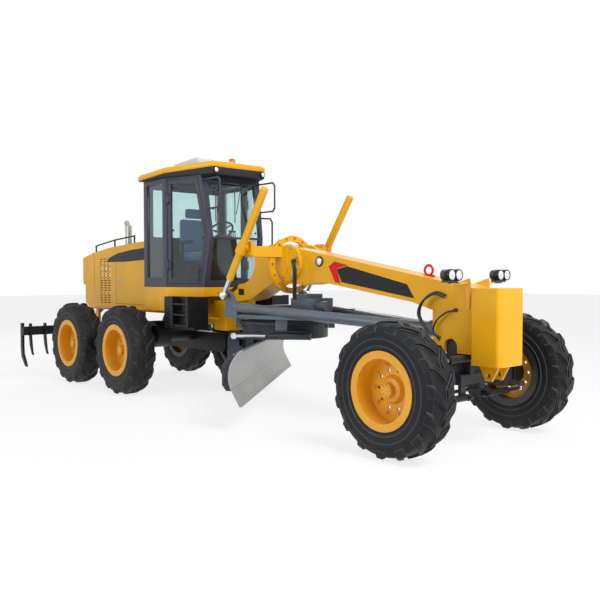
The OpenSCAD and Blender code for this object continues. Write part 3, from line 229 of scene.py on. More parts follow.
# Inside: 1 in the box between two corners, for a part of one casting that has another colour, and for painted shade on
# a part.
INSIDE, gi, go = group("inside a box", [("Low", "Vector", (0, 0, 0)), ("High", "Vector", (1, 1, 1))],
                       [("Mask", "Float")])
co = add(INSIDE, "TexCoord")
above = add(INSIDE, "VectorMath", {0: co.outputs["Object"], 1: gi.outputs["Low"]}, operation="SUBTRACT")
below = add(INSIDE, "VectorMath", {0: gi.outputs["High"], 1: co.outputs["Object"]}, operation="SUBTRACT")
least = add(INSIDE, "VectorMath", {0: above.outputs[0], 1: below.outputs[0]}, operation="MINIMUM")
xyz = add(INSIDE, "SeparateXYZ", {0: least.outputs[0]})
m1 = add(INSIDE, "Math", {0: xyz.outputs["X"], 1: xyz.outputs["Y"]}, operation="MINIMUM")
m2 = add(INSIDE, "Math", {0: m1.outputs[0], 1: xyz.outputs["Z"]}, operation="MINIMUM")
hit = add(INSIDE, "Math", {0: m2.outputs[0]}, operation="GREATER_THAN")
hit.inputs[1].default_value = 0.0
INSIDE.links.new(hit.outputs[0], go.inputs["Mask"])


# %% Finish makers
def blend_colour(tree, mask, a, b):
    n = add(tree, "Mix", {0: mask}, data_type="RGBA")
    for socket, value in ((n.inputs[6], a), (n.inputs[7], b)):
        if isinstance(value, bpy.types.NodeSocket):
            tree.links.new(value, socket)
        else:
            socket.default_value = value
    return n.outputs[2]


def finish(name, colour, second, rough=0.35, metal=0.0, coat=0.0, edge_wear_and_highlight=0.0, worn_and_lit_colour="#8d8f92", edge=0.005,
           dust=0.25, dust_reach=0.9, fine=160.0, broad=2.2, bump=0.02, gloss=0.5, patches=()):
    """Paint or metal: two close tones, rounded edges with wear and painted highlight, dust, ripple, boxes of other
    colour or painted shade.
    """
    m = bpy.data.materials.new(name)
    m.use_nodes = True
    t = m.node_tree
    s = t.nodes["Principled BSDF"]
    s.inputs["Metallic"].default_value = metal
    s.inputs["Coat Weight"].default_value = coat
    s.inputs["Coat Roughness"].default_value = 0.08
    s.inputs["Specular IOR Level"].default_value = gloss
    e = place(t, EDGE, Radius=edge)
    g = place(t, GRAIN, Fine=fine, Broad=broad)
    c = blend_colour(t, g.outputs["Tone"], linear(colour), linear(second))
    for low_corner, high_corner, other in patches:
        c = blend_colour(t, place(t, INSIDE, Low=low_corner, High=high_corner).outputs[0], c, linear(other))
    # paler edge tint: wear where the colour is steel grey, a painted highlight where it is a lighter copy of the paint
    if edge_wear_and_highlight:
        rub_and_highlight = add(t, "Math", {0: e.outputs["Edge"], 1: g.outputs["Height"]}, operation="MULTIPLY")
        rub_and_highlight = add(t, "MapRange", {"Value": rub_and_highlight.outputs[0]}, From_Min=0.45, From_Max=0.62, To_Max=edge_wear_and_highlight)
        c = blend_colour(t, rub_and_highlight.outputs[0], c, linear(worn_and_lit_colour))
    d = place(t, DUST, Reach=dust_reach, Amount=dust)
    c = blend_colour(t, d.outputs[0], c, linear("#a39a8c"))
    t.links.new(c, s.inputs["Base Color"])
    r = add(t, "MapRange", {"Value": d.outputs[0]}, To_Min=rough, To_Max=min(1.0, rough + 0.5))
    r = add(t, "Math", {0: r.outputs[0], 1: add(t, "MapRange", {"Value": g.outputs["Tone"]}, To_Min=-0.03,
            To_Max=0.05).outputs[0]}, operation="ADD")
    t.links.new(r.outputs[0], s.inputs["Roughness"])
    b = add(t, "Bump", {"Height": g.outputs["Height"], "Normal": e.outputs["Normal"]}, Strength=bump, Distance=0.004)
    t.links.new(b.outputs[0], s.inputs["Normal"])
    return m


# the pale yellow on its edges is a painted highlight
YELLOW = finish("yellow enamel", "#eaac0e", "#e3a308", rough=0.34, coat=0.12, edge_wear_and_highlight=0.10, worn_and_lit_colour="#ffd98a", dust=0.06,
                gloss=0.35)
# the cylinders' slender facets take a much smaller rounding
BARREL_YELLOW = finish("cylinder enamel", "#eaac0e", "#e3a308", rough=0.34, coat=0.12, edge=0.001, dust=0.06,
                       gloss=0.35)
# the dark box over each rim's side toward the axle is painted shade
RIM_YELLOW = finish("wheel enamel", "#e6a315", "#de9a10", rough=0.40, coat=0.15, edge_wear_and_highlight=0.25, dust=0.12, dust_reach=1.3,
                    patches=[((-4, -0.972, -1), (5, 0.972, 2), "#1b1c1e")])
CHARCOAL = finish("cab enamel", "#393b48", "#333542", rough=0.38, coat=0.08, edge_wear_and_highlight=0.2, worn_and_lit_colour="#777a86", dust=0.05,
                  gloss=0.35)
# the pale blue-grey along the drawbar's plate edges is a painted highlight
SLATE = finish("drawbar enamel", "#4f5a65", "#48525d", rough=0.38, coat=0.25, edge_wear_and_highlight=0.35, worn_and_lit_colour="#a8b2bb", dust=0.10)
DARK_SLATE = finish("circle enamel", "#2b3038", "#252a31", rough=0.42, coat=0.05, edge_wear_and_highlight=0.4, worn_and_lit_colour="#858b92", dust=0.06,
                    gloss=0.35)
BLACK = finish("black enamel", "#0e0f12", "#14151a", rough=0.40, edge_wear_and_highlight=0.2, worn_and_lit_colour="#5d5f62", dust=0.05, gloss=0.3)
CHASSIS = finish("axle enamel", "#20242b", "#272b32", rough=0.45, edge_wear_and_highlight=0.3, dust=0.12)
CHROME = finish("chromed rod", "#d9dcdf", "#cfd3d7", rough=0.10, metal=1.0, fine=60, bump=0.004, dust=0.05)
PLATED = finish("plated steel", "#b9bcc0", "#a3a6ab", rough=0.30, metal=0.9, dust=0.1)
PIPE = finish("exhaust steel", "#c4c2bd", "#a39d93", rough=0.32, metal=0.85, broad=14, dust=0.1)
CASTING = finish("engine casting", "#3b3e42", "#303337", rough=0.65, bump=0.3, fine=90, dust=0.4)
PALE = finish("pale moulding", "#d9dcdd", "#cfd2d4", rough=0.45, dust=0.1)
RED = finish("red enamel", "#d4140f", "#c9110c", rough=0.34, dust=0.03, gloss=0.3)
HOSE = finish("hose rubber", "#15161a", "#1c1d21", rough=0.45, bump=0.12, fine=700, dust=0.1)
LINER = finish("roof liner", "#15171c", "#1b1d22", rough=0.7, bump=0.1, dust=0.0)
PLASTIC = finish("moulded plastic", "#1b1e24", "#21242b", rough=0.55, bump=0.15, fine=420, dust=0.05)
LAMP_MAT = finish("lamp brackets", "#f0b01e", "#eaa815", rough=0.3, coat=0.4, dust=0.05,
                  patches=[((4.0, 0.285, 1.592), (4.4, 0.6, 1.9), "#1b1c1f"),
                           ((4.0, -0.6, 1.592), (4.4, -0.285, 1.9), "#1b1c1f")])
print("finishes", len(bpy.data.materials))

# %% [markdown]
# ### Rubber, worn steel and glass
# Rubber is nearly black with a soft sheen, and a painted highlight lightens the edges of its lugs. The blade's face is
# bare steel, scoured lengthwise by soil, so its streaks must run along the blade: the pattern is turned by the blade's
# own angle and stretched.
# Window glass is thin and green-grey, so it transmits almost everything and only mirrors at a slant.


# %% Rubber
def rubber():
    m = bpy.data.materials.new("tyre rubber")
    m.use_nodes = True
    t = m.node_tree
    s = t.nodes["Principled BSDF"]
    s.inputs["Specular IOR Level"].default_value = 0.25
    e = place(t, EDGE, Radius=0.010)
    g = place(t, GRAIN, Fine=240.0, Broad=5.0)
    c = blend_colour(t, g.outputs["Tone"], linear("#0a0b0d"), linear("#101216"))
    # painted highlight: the lugs' edges are lightened toward grey
    lift = add(t, "Math", {0: e.outputs["Edge"]}, operation="MULTIPLY")
    lift.inputs[1].default_value = 0.5
    c = blend_colour(t, lift.outputs[0], c, linear("#6a6e76"))
    d = place(t, DUST, Reach=1.0, Amount=0.10)
    c = blend_colour(t, d.outputs[0], c, linear("#6f6c66"))
    t.links.new(c, s.inputs["Base Color"])
    r = add(t, "MapRange", {"Value": g.outputs["Tone"]}, To_Min=0.46, To_Max=0.60)
    t.links.new(r.outputs[0], s.inputs["Roughness"])
    b = add(t, "Bump", {"Height": g.outputs["Height"], "Normal": e.outputs["Normal"]}, Strength=0.18, Distance=0.003)
    t.links.new(b.outputs[0], s.inputs["Normal"])
    return m


RUBBER = rubber()


# %% Bare steel of the blade
def blade_steel():
    m = bpy.data.materials.new("scoured steel")
    m.use_nodes = True
    t = m.node_tree
    s = t.nodes["Principled BSDF"]
    s.inputs["Metallic"].default_value = 0.85
    co = add(t, "TexCoord")
    turn_ = add(t, "Mapping", {"Vector": co.outputs["Object"]}, vector_type="TEXTURE")
    turn_.inputs["Rotation"].default_value = (0, 0, BLADE_TURN)
    streak = add(t, "Mapping", {"Vector": turn_.outputs[0]})
    streak.inputs["Scale"].default_value = (60, 1.2, 60)
    n = add(t, "TexNoise", {"Vector": streak.outputs[0]}, Scale=1.0, Detail=5.0, Roughness=0.6)
    cloud_ = add(t, "TexNoise", {"Vector": turn_.outputs[0]}, Scale=1.6, Detail=4.0)
    sep_ = add(t, "SeparateXYZ", {0: co.outputs["Object"]})
    # painted light: the blade's face grows paler towards its top
    foot = add(t, "MapRange", {"Value": sep_.outputs["Z"]}, From_Min=0.30, From_Max=0.86)
    c = blend_colour(t, n.outputs["Fac"], linear("#7d7d7c"), linear("#a9a8a6"))
    dull = add(t, "MapRange", {"Value": cloud_.outputs["Fac"]}, From_Min=0.42, From_Max=0.7, To_Max=0.6)
    c = blend_colour(t, dull.outputs[0], c, linear("#6f6e6c"))
    c = blend_colour(t, add(t, "Math", {0: foot.outputs[0]}, operation="POWER").outputs[0], c, linear("#a6a6a5"))
    t.links.new(c, s.inputs["Base Color"])
    r = add(t, "MapRange", {"Value": n.outputs["Fac"]}, To_Min=0.30, To_Max=0.52)
    t.links.new(r.outputs[0], s.inputs["Roughness"])
    e = place(t, EDGE, Radius=0.004)
    b = add(t, "Bump", {"Height": n.outputs["Fac"], "Normal": e.outputs["Normal"]}, Strength=0.10, Distance=0.004)
    t.links.new(b.outputs[0], s.inputs["Normal"])
    return m


STEEL = blade_steel()


# %% Glass and lenses
def glass(name, colour, rough=0.02, streaks=0.03):
    m = bpy.data.materials.new(name)
    m.use_nodes = True
    t = m.node_tree
    s = t.nodes["Principled BSDF"]
    s.inputs["Transmission Weight"].default_value = 1.0
    s.inputs["IOR"].default_value = 1.45
    co = add(t, "TexCoord")
    film = add(t, "TexNoise", {"Vector": co.outputs["Object"]}, Scale=2.4, Detail=5.0)
    c = blend_colour(t, film.outputs["Fac"], linear(colour), [v * 0.93 for v in linear(colour)[:3]] + [1])
    t.links.new(c, s.inputs["Base Color"])
    r = add(t, "MapRange", {"Value": film.outputs["Fac"]}, To_Min=rough, To_Max=rough + streaks)
    t.links.new(r.outputs[0], s.inputs["Roughness"])
    return m


GLASS = glass("cab glass", "#dcf0f0")
AMBER = glass("amber lens", "#ff9a1f", 0.2)


def lens_finish():
    """Clear ribbed lens over a bright reflector, made as one pearly surface."""
    m = bpy.data.materials.new("lamp lens")
    m.use_nodes = True
    t = m.node_tree
    s = t.nodes["Principled BSDF"]
    s.inputs["Metallic"].default_value = 0.35
    s.inputs["Coat Weight"].default_value = 1.0
    s.inputs["Coat Roughness"].default_value = 0.02
    co = add(t, "TexCoord")
    ribs = add(t, "TexWave", {"Vector": co.outputs["Object"]}, Scale=26.0, Distortion=0.4, bands_direction="Y")
    c = blend_colour(t, ribs.outputs["Fac"], linear("#c9ced2"), linear("#f4f6f7"))
    t.links.new(c, s.inputs["Base Color"])
    r = add(t, "MapRange", {"Value": ribs.outputs["Fac"]}, To_Min=0.12, To_Max=0.25)
    t.links.new(r.outputs[0], s.inputs["Roughness"])
    b = add(t, "Bump", {"Height": ribs.outputs["Fac"]}, Strength=0.4, Distance=0.002)
    t.links.new(b.outputs[0], s.inputs["Normal"])
    return m


LENS = lens_finish()

# %% Give each solid its finish
WEARS = [("tyre", RUBBER), ("rim", RIM_YELLOW), ("rear_frame", YELLOW), ("tandem", BLACK), ("hood", YELLOW),
         ("engine", CASTING), ("exhaust", PIPE), ("cab_frame", CHARCOAL), ("cab_roof", YELLOW), ("cab_glass", GLASS),
         ("cab_interior", PLASTIC), ("steps", BLACK), ("side_tanks", BLACK), ("front_frame", YELLOW),
         ("saddle", YELLOW), ("front_axle", CHASSIS), ("front_lamps", LAMP_MAT), ("lean_bracket", CHASSIS),
         ("lean_bar", CHASSIS), ("lean_rod", CHROME), ("knuckle", CHASSIS), ("tie_rod_studs", PLATED),
         ("tie_rod", CHASSIS), ("steering_barrel", BLACK), ("steering_rod", CHROME), ("artic_barrel", BLACK),
         ("artic_rod", CHROME), ("drawbar", SLATE), ("circle", DARK_SLATE), ("pitch_barrel", DARK_SLATE),
         ("pitch_rod", CHROME), ("blade_carriage", DARK_SLATE), ("mouldboard", STEEL), ("cutting_edge", STEEL),
         ("shift_rod", CHROME), ("lift_barrel", BARREL_YELLOW), ("lift_rod", CHROME), ("ripper_rod", CHROME),
         ("ripper", BLACK), ("door", CHARCOAL)]
for node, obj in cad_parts.items():
    chosen = next(m for start, m in WEARS if node.startswith(start))
    obj.data.materials.clear()
    obj.data.materials.append(chosen)
print("dressed", len(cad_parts), "solids")

# %% [markdown]
# ## Shaping tools
# Every new part starts as a cube, cone, ball, outline or profile, and operators do the rest. The box, rod, ball and
# plate helpers return the vertices they made, so that a part can be turned into its place before the next one is
# added.


# %% Shapes
def add_box(bm, low, high):
    made = bmesh.ops.create_cube(bm, size=1.0)["verts"]
    low, high = Vector(low), Vector(high)
    bmesh.ops.scale(bm, vec=high - low, verts=made)
    bmesh.ops.translate(bm, vec=(low + high) / 2, verts=made)
    return made


def add_rod(bm, p, q, r, r2=None, segments=20):
    p, q = Vector(p), Vector(q)
    at = Matrix.Translation((p + q) / 2) @ (q - p).to_track_quat("Z", "Y").to_matrix().to_4x4()
    return bmesh.ops.create_cone(bm, cap_ends=True, segments=segments, radius1=r, radius2=r if r2 is None else r2,
                                 depth=(q - p).length, matrix=at)["verts"]


def add_ball(bm, centre, r, squash=(1, 1, 1)):
    at = Matrix.Translation(centre) @ Matrix.Diagonal((*squash, 1))
    return bmesh.ops.create_uvsphere(bm, u_segments=20, v_segments=12, radius=r, matrix=at)["verts"]


def add_plate(bm, outline, axis, start, thick):
    """A flat outline raised into a plate: axis is the direction it is thick in."""
    at = {"x": lambda a, b: (start, a, b), "y": lambda a, b: (a, start, b), "z": lambda a, b: (a, b, start)}[axis]
    made = [bm.verts.new(at(a, b)) for a, b in outline]
    face = bm.faces.new(made)
    raised = bmesh.ops.extrude_face_region(bm, geom=[face])["geom"]
    tops = [v for v in raised if isinstance(v, bmesh.types.BMVert)]
    step = {"x": (thick, 0, 0), "y": (0, thick, 0), "z": (0, 0, thick)}[axis]
    bmesh.ops.translate(bm, vec=step, verts=tops)
    return made + tops


def add_turned(bm, profile, centre, axis, steps=32):
    """A turned part: profile is (distance along the axis, radius), spun once round it."""
    axis = Vector(axis).normalized()
    side = axis.orthogonal().normalized()
    centre = Vector(centre)
    ring = [bm.verts.new(centre + axis * a + side * max(r, 1e-5)) for a, r in profile]
    edges = [bm.edges.new(pair) for pair in zip(ring, ring[1:])]
    bmesh.ops.spin(bm, geom=ring + edges, cent=centre, axis=axis, angle=math.tau, steps=steps, use_merge=True)


def soften(bm, width, angle=30, segments=2):
    """Rounds each edge that is sharper than the angle."""
    bmesh.ops.remove_doubles(bm, verts=bm.verts, dist=2e-5)
    bmesh.ops.recalc_face_normals(bm, faces=bm.faces)
    keen = [e for e in bm.edges if len(e.link_faces) == 2 and e.calc_face_angle(0) > math.radians(angle)]
    bmesh.ops.bevel(bm, geom=keen, offset=width, offset_type="OFFSET", segments=segments, profile=0.5,
                    affect="EDGES", material=-1, clamp_overlap=True)


def make(name, bm, material, body, smooth=40):
    """Turns a bmesh into a finished piece that rides a body."""
    bmesh.ops.remove_doubles(bm, verts=bm.verts, dist=1e-5)
    bmesh.ops.recalc_face_normals(bm, faces=bm.faces)
    mesh_ = bpy.data.meshes.new(name)
    bm.to_mesh(mesh_)
    bm.free()
    mesh_.shade_smooth()
    mesh_.set_sharp_from_angle(angle=math.radians(smooth))
    mesh_.materials.append(material)
    o = bpy.data.objects.new(name, mesh_)
    scene.collection.objects.link(o)
    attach(o, body)
    return o


def add_hose(bm, points, r, sides=10, per=8):
    """A smooth hose through a few points: a ring is carried along the curve and joined to itself."""
    pts = [Vector(p) for p in points]
    path = []
    for i in range(len(pts) - 1):
        a, b_, c, d_ = pts[max(i - 1, 0)], pts[i], pts[i + 1], pts[min(i + 2, len(pts) - 1)]
        for k in range(per):
            t_ = k / per
            path.append(0.5 * ((2 * b_) + (c - a) * t_ + (2 * a - 5 * b_ + 4 * c - d_) * t_ * t_
                               + (3 * b_ - a - 3 * c + d_) * t_ ** 3))
    path.append(pts[-1])
    made = bmesh.ops.create_circle(bm, cap_ends=True, segments=sides, radius=r)["verts"]
    face = made[0].link_faces[0]
    along = (path[1] - path[0]).normalized()
    bmesh.ops.rotate(bm, cent=(0, 0, 0), matrix=along.to_track_quat("Z", "Y").to_matrix(), verts=made)
    bmesh.ops.translate(bm, vec=path[0], verts=made)
    for before, here, after in zip(path, path[1:], path[2:] + [path[-1]]):
        new = bmesh.ops.extrude_face_region(bm, geom=[face])["geom"]
        bmesh.ops.delete(bm, geom=[face], context="FACES_ONLY") if face.is_valid and before != path[0] else None
        face = next(g for g in new if isinstance(g, bmesh.types.BMFace))
        ring = list(face.verts)
        bmesh.ops.translate(bm, vec=here - before, verts=ring)
        way = ((after - before) if after != here else (here - before)).normalized()
        bmesh.ops.rotate(bm, cent=here, matrix=along.rotation_difference(way).to_matrix(), verts=ring)
        along = way


def add_bolt(bm, at, axis, r=0.012, h=0.008):
    at, axis = Vector(at), Vector(axis).normalized()
    add_rod(bm, at - axis * 0.002, at + axis * h * 0.35, r * 1.35, segments=14)
    add_rod(bm, at + axis * h * 0.3, at + axis * h, r, segments=6)


# %% [markdown]
# ## Tyres
# A grader's tyre pulls with tall slanted lugs. They start at the middle of the tread, lean back, bend over the
# shoulder and fade on the side wall, left and right ones in turn. One lug is a small block pushed out along that
# path; copies are turned round the axle, mirrored, and joined to a spun carcass. The middles of the lugs lead when
# the machine drives forward, so they bite first.

# %% Tyre mesh
LUGS = 15


def add_lug(bm):
    """One lug of the left half at the tyre's top. Columns: out from the middle, radius, turn, half width."""
    path = [(0.006, 0.629, 15.5, 0.036), (0.040, 0.629, 11.5, 0.031), (0.080, 0.628, 7.6, 0.030),
            (0.118, 0.623, 4.0, 0.033), (0.148, 0.607, 1.4, 0.040), (0.165, 0.577, 0.3, 0.047),
            (0.1735, 0.540, 0.0, 0.052)]
    rings = []
    for y, r, turn_, half in path:
        out = Vector((0, 0.25, 1)) if y < 0.14 else Vector((0, 1, 0.4))
        base = Vector((0, y, r)) - out.normalized() * (0.045 if y < 0.14 else 0.022)
        quad = [bm.verts.new(p) for p in (base + Vector((-half * 1.25, 0, 0)), base + Vector((half * 1.25, 0, 0)),
                                          Vector((half, y, r)), Vector((-half, y, r)))]
        bmesh.ops.rotate(bm, cent=(0, 0, 0), matrix=Matrix.Rotation(math.radians(turn_), 3, "Y"), verts=quad)
        rings.append([bm.edges.new((quad[i], quad[(i + 1) % 4])) for i in range(4)])
    for a, b_ in zip(rings, rings[1:]):
        bmesh.ops.bridge_loops(bm, edges=a + b_)
    for ring in (rings[0], rings[-1]):
        bmesh.ops.contextual_create(bm, geom=ring)


def tyre_mesh():
    bm = bmesh.new()
    profile = [(-0.147, 0.3122), (-0.152, 0.367), (-0.166, 0.392), (-0.1715, 0.44), (-0.170, 0.50), (-0.160, 0.555),
               (-0.140, 0.588), (-0.11, 0.600), (-0.05, 0.6045), (0, 0.6055)]
    profile += [(-a, r) for a, r in reversed(profile[:-1])] + [profile[0]]
    add_turned(bm, profile, (0, 0, 0), (0, 1, 0), steps=72)
    # two raised rings on each side wall
    for side in (-1, 1):
        for r in (0.405, 0.472):
            add_turned(bm, [(side * 0.158, r - 0.006), (side * 0.1735, r - 0.003), (side * 0.1735, r + 0.003),
                            (side * 0.158, r + 0.006)], (0, 0, 0), (0, 1, 0), steps=72)
    lug = bmesh.new()
    add_lug(lug)
    bmesh.ops.recalc_face_normals(lug, faces=lug.faces)
    seed = bpy.data.meshes.new("lug")
    lug.to_mesh(seed)
    lug.free()
    for side in (1, -1):
        for i in range(LUGS):
            before = len(bm.verts)
            bm.from_mesh(seed)
            bm.verts.ensure_lookup_table()
            new = bm.verts[before:]
            if side == -1:
                bmesh.ops.scale(bm, vec=(1, -1, 1), verts=new)
            angle = (i + (0.5 if side == -1 else 0)) * math.tau / LUGS
            bmesh.ops.rotate(bm, cent=(0, 0, 0), matrix=Matrix.Rotation(angle, 3, "Y"), verts=new)
    bpy.data.meshes.remove(seed)
    return bm


WHEELS = [("front", AXLE_X), ("mid", MID_X), ("rear", REAR_X)]
master = tyre_mesh()
for row, x in WHEELS:
    for side, name in ((1, "left"), (-1, "right")):
        bm = master.copy()
        bmesh.ops.translate(bm, vec=(x, side * HALF_TRACK, WHEEL_R), verts=bm.verts)
        tyre = make(f"tread_{row}_{name}", bm, RUBBER, f"wheel_{row}_{name}", smooth=32)
        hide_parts(f"tyre_{row}_{name}")
master.free()
print("tyre triangles", sum(len(p.vertices) - 2 for p in tyre.data.polygons))

# %% [markdown]
# ### Wheel nuts
# Ten nuts hold each rim on its hub, with a valve stem between two of them.

# %% Nuts and valves
for row, x in WHEELS:
    for side, name in ((1, "left"), (-1, "right")):
        bm = bmesh.new()
        disc = side * (HALF_TRACK - 0.02)
        for i in range(10):
            a = math.radians(18 + i * 36)
            at = Vector((x + 0.225 * math.sin(a), disc, WHEEL_R + 0.225 * math.cos(a)))
            add_bolt(bm, at, (0, side, 0), 0.014, 0.018)
        for i in range(8):
            a = math.radians(i * 45)
            at = Vector((x + 0.048 * math.sin(a), side * (HALF_TRACK + 0.085), WHEEL_R + 0.048 * math.cos(a)))
            add_bolt(bm, at, (0, side, 0), 0.006, 0.006)
        add_rod(bm, (x + 0.27, disc, WHEEL_R), (x + 0.262, disc + side * 0.05, WHEEL_R), 0.005, segments=8)
        make(f"wheel_nuts_{row}_{name}", bm, RIM_YELLOW, f"wheel_{row}_{name}")

# %% [markdown]
# ## Roof
# The roof is a pressed shell: a thick rounded rim, a crown that steps up in soft shoulders, and a dark liner that
# shows below the rim. A pale cooling unit, an amber beacon and two work lamps stand on it or hang from it.

# %% Roof shell
rear, kink, nose_x = -1.01, -0.31, 0.42
PLAN = [(rear, 0.77), (kink, 0.76), (nose_x, 0.445), (nose_x, -0.445), (kink, -0.76), (rear, -0.77)]


def grown(points, d):
    """The plan moved in or out, toward or away from its middle."""
    mid = Vector((-0.35, 0))
    return [tuple(Vector(p) + (Vector(p) - mid).normalized() * d) for p in points]


# the roof climbs toward its front edge
TILT = Matrix(((1, 0, 0, 0), (0, 1, 0, 0), (0.0636, 0, 1, 0), (0, 0, 0, 1)))
bm = bmesh.new()
add_plate(bm, grown(PLAN, -0.004), "z", ROOF_Z + 0.057, 0.061)
bm.faces.ensure_lookup_table()
roof_top = max(bm.faces, key=lambda f: f.calc_center_median().z)
for inset, lift in ((0.035, 0.022), (0.10, 0.012), (0.16, 0.005)):
    bmesh.ops.inset_region(bm, faces=[roof_top], thickness=inset, depth=0)
    bmesh.ops.translate(bm, vec=(0, 0, lift), verts=roof_top.verts)
soften(bm, 0.020, 35, 4)
bmesh.ops.transform(bm, matrix=TILT, verts=bm.verts)
roof = make("roof_shell", bm, YELLOW, "rear_body", smooth=60)
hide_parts("cab_roof")
bm = bmesh.new()
both_faces = add_plate(bm, grown(PLAN, -0.016), "z", ROOF_Z - 0.012, 0.082)
bmesh.ops.transform(bm, matrix=TILT, verts=both_faces[len(both_faces) // 2:])
soften(bm, 0.006)
make("roof_liner", bm, LINER, "rear_body")

# %% Cooling unit and beacon
bm = bmesh.new()
add_plate(bm, [(x, ROOF_Z + z) for x, z in ((-0.72, 0.06), (-0.72, 0.245), (-0.16, 0.285), (0.02, 0.17),
                                            (0.02, 0.06))], "y", -0.33, 0.66)
soften(bm, 0.018, 30, 3)
for i in range(9):
    for y in (-0.3335, 0.328):
        add_box(bm, (-0.62 + i * 0.04, y, ROOF_Z + 0.135), (-0.598 + i * 0.04, y + 0.0055, ROOF_Z + 0.20))
make("cooling_unit", bm, PALE, "rear_body")
bm = bmesh.new()
top_z = ROOF_Z + 0.163
add_turned(bm, [(0, 0.0), (0, 0.055), (0.012, 0.055), (0.018, 0.049), (0.018, 0)], (0.20, 0.03, top_z), (0, 0, 1))
make("beacon_foot", bm, PLASTIC, "rear_body")
bm = bmesh.new()
add_turned(bm, [(0, 0), (0, 0.048), (0.035, 0.046), (0.062, 0.040), (0.074, 0.030), (0.079, 0.014), (0.080, 0)],
           (0.20, 0.03, top_z + 0.016), (0, 0, 1))
make("beacon_lens", bm, AMBER, "rear_body")


# %% Lamps
def add_lamp(bm_shell, bm_lens, at, r, depth, axis=(1, 0, 0)):
    """A round lamp: rounded shell with a rim, and a domed lens set into it."""
    add_turned(bm_shell, [(-depth, 0), (-depth, r * 0.55), (-depth * 0.75, r * 0.86), (-depth * 0.35, r), (0, r),
                          (0.004, r * 0.96), (0.0, r * 0.88), (-0.012, r * 0.86), (-0.012, 0)], at, axis)
    add_turned(bm_lens, [(-0.011, 0), (-0.011, r * 0.85), (0.001, r * 0.8), (0.006, r * 0.4), (0.007, 0)], at, axis)


shell, lens = bmesh.new(), bmesh.new()
for y in (-0.395, 0.395):
    add_lamp(shell, lens, (0.434, y, ROOF_Z + 0.042), 0.037, 0.05)
make("roof_lamps", shell, BLACK, "rear_body")
make("roof_lenses", lens, LENS, "rear_body")
shell, lens = bmesh.new(), bmesh.new()
for y in (-0.455, -0.345, 0.345, 0.455):
    add_lamp(shell, lens, (4.296, y, 1.67), 0.0555, 0.11)
make("head_lamps", shell, BLACK, "front_body")
make("head_lenses", lens, LENS, "front_body")

# %% [markdown]
# ## Cab
# Panes are held by black rubber and round buttons, the doors are nearly all glass, and long wipers park on the
# windscreen. Inside stand a blue seat, a tall console and a wheel.

# %% Door panes
DOOR_ANGLE = math.atan2(0.278, 0.79)
DOOR_TOP = CAB_TOP - 0.045


def along_door(x):
    return (x + 0.37) / math.cos(DOOR_ANGLE)


def to_door(bm, side):
    """Moves what was built at the origin onto a door: x runs forward along the slanted wall, y is outward."""
    at = Matrix.Translation((-0.37, 0.70, 0)) @ Matrix.Rotation(-DOOR_ANGLE, 4, "Z")
    bmesh.ops.transform(bm, matrix=at, verts=bm.verts)
    if side == -1:
        bmesh.ops.scale(bm, vec=(1, -1, 1), verts=bm.verts)


WINDOW = [(0.094, 1.621), (along_door(0.208) - 0.046, 1.621), (along_door(0.304) - 0.048, 2.19),
          (along_door(0.163) - 0.050, DOOR_TOP - 0.056), (0.094, DOOR_TOP - 0.056)]
for side, name in ((1, "left"), (-1, "right")):
    bm = bmesh.new()
    add_plate(bm, WINDOW, "y", -0.028, 0.006)
    to_door(bm, side)
    make(f"door_pane_{name}", bm, GLASS, f"door_{name}")
    bm = bmesh.new()
    for u, v in ((0.13, 1.68), (WINDOW[1][0] - 0.03, 1.68), (WINDOW[2][0] - 0.035, 2.19),
                 (WINDOW[3][0] - 0.03, DOOR_TOP - 0.11), (0.13, DOOR_TOP - 0.11), (0.13, 2.3)):
        add_turned(bm, [(0, 0), (0, 0.014), (0.006, 0.012), (0.007, 0)], (u, -0.022, v), (0, 1, 0), steps=14)
    for a, b_ in zip(WINDOW, WINDOW[1:] + WINDOW[:1]):
        add_rod(bm, (a[0], -0.018, a[1]), (b_[0], -0.018, b_[1]), 0.007, segments=8)
    to_door(bm, side)
    make(f"door_seals_{name}", bm, HOSE, f"door_{name}")

# %% Windscreen buttons and wipers
BAR_Z, BAR_X, BROW_X = 2.19, 0.356, 0.205


def screen_x(z, proud=0.0):
    """The windscreen's outer face: it leans back above its middle bar."""
    return BAR_X + (BROW_X - BAR_X) * (z - BAR_Z) / (CAB_TOP - BAR_Z) - 0.019 + proud


bm = bmesh.new()
lean = Vector((CAB_TOP - BAR_Z, 0, BAR_X - BROW_X)).normalized()
for z in (2.27, 2.58, CAB_TOP - 0.14):
    for y in (-0.34, 0.34):
        add_turned(bm, [(0, 0), (0, 0.016), (0.007, 0.013), (0.008, 0)], (screen_x(z, 0.001), y, z), lean, steps=14)
make("screen_buttons", bm, PLASTIC, "rear_body")
bm = bmesh.new()
for y0, y1 in ((-0.17, -0.30), (0.16, 0.02)):
    z0, z1 = CAB_TOP - 0.10, CAB_TOP - 0.52
    add_rod(bm, (screen_x(z0, 0.03), y0, z0), (screen_x(z1, 0.028), y1, z1), 0.006, segments=8)
    add_rod(bm, (screen_x(z0 - 0.05, 0.018), y1 + 0.03, z0 - 0.05), (screen_x(z1 - 0.12, 0.018), y1 - 0.03, z1 - 0.12),
            0.007, segments=8)
    add_rod(bm, (screen_x(z0, -0.01), y0, z0), (screen_x(z0, 0.042), y0, z0), 0.014, segments=12)
make("wipers", bm, PLASTIC, "rear_body")

# %% [markdown]
# ### Seat and controls
# The seat's cushions are crowned: a box is rounded hard, then its top is pushed up toward the middle.


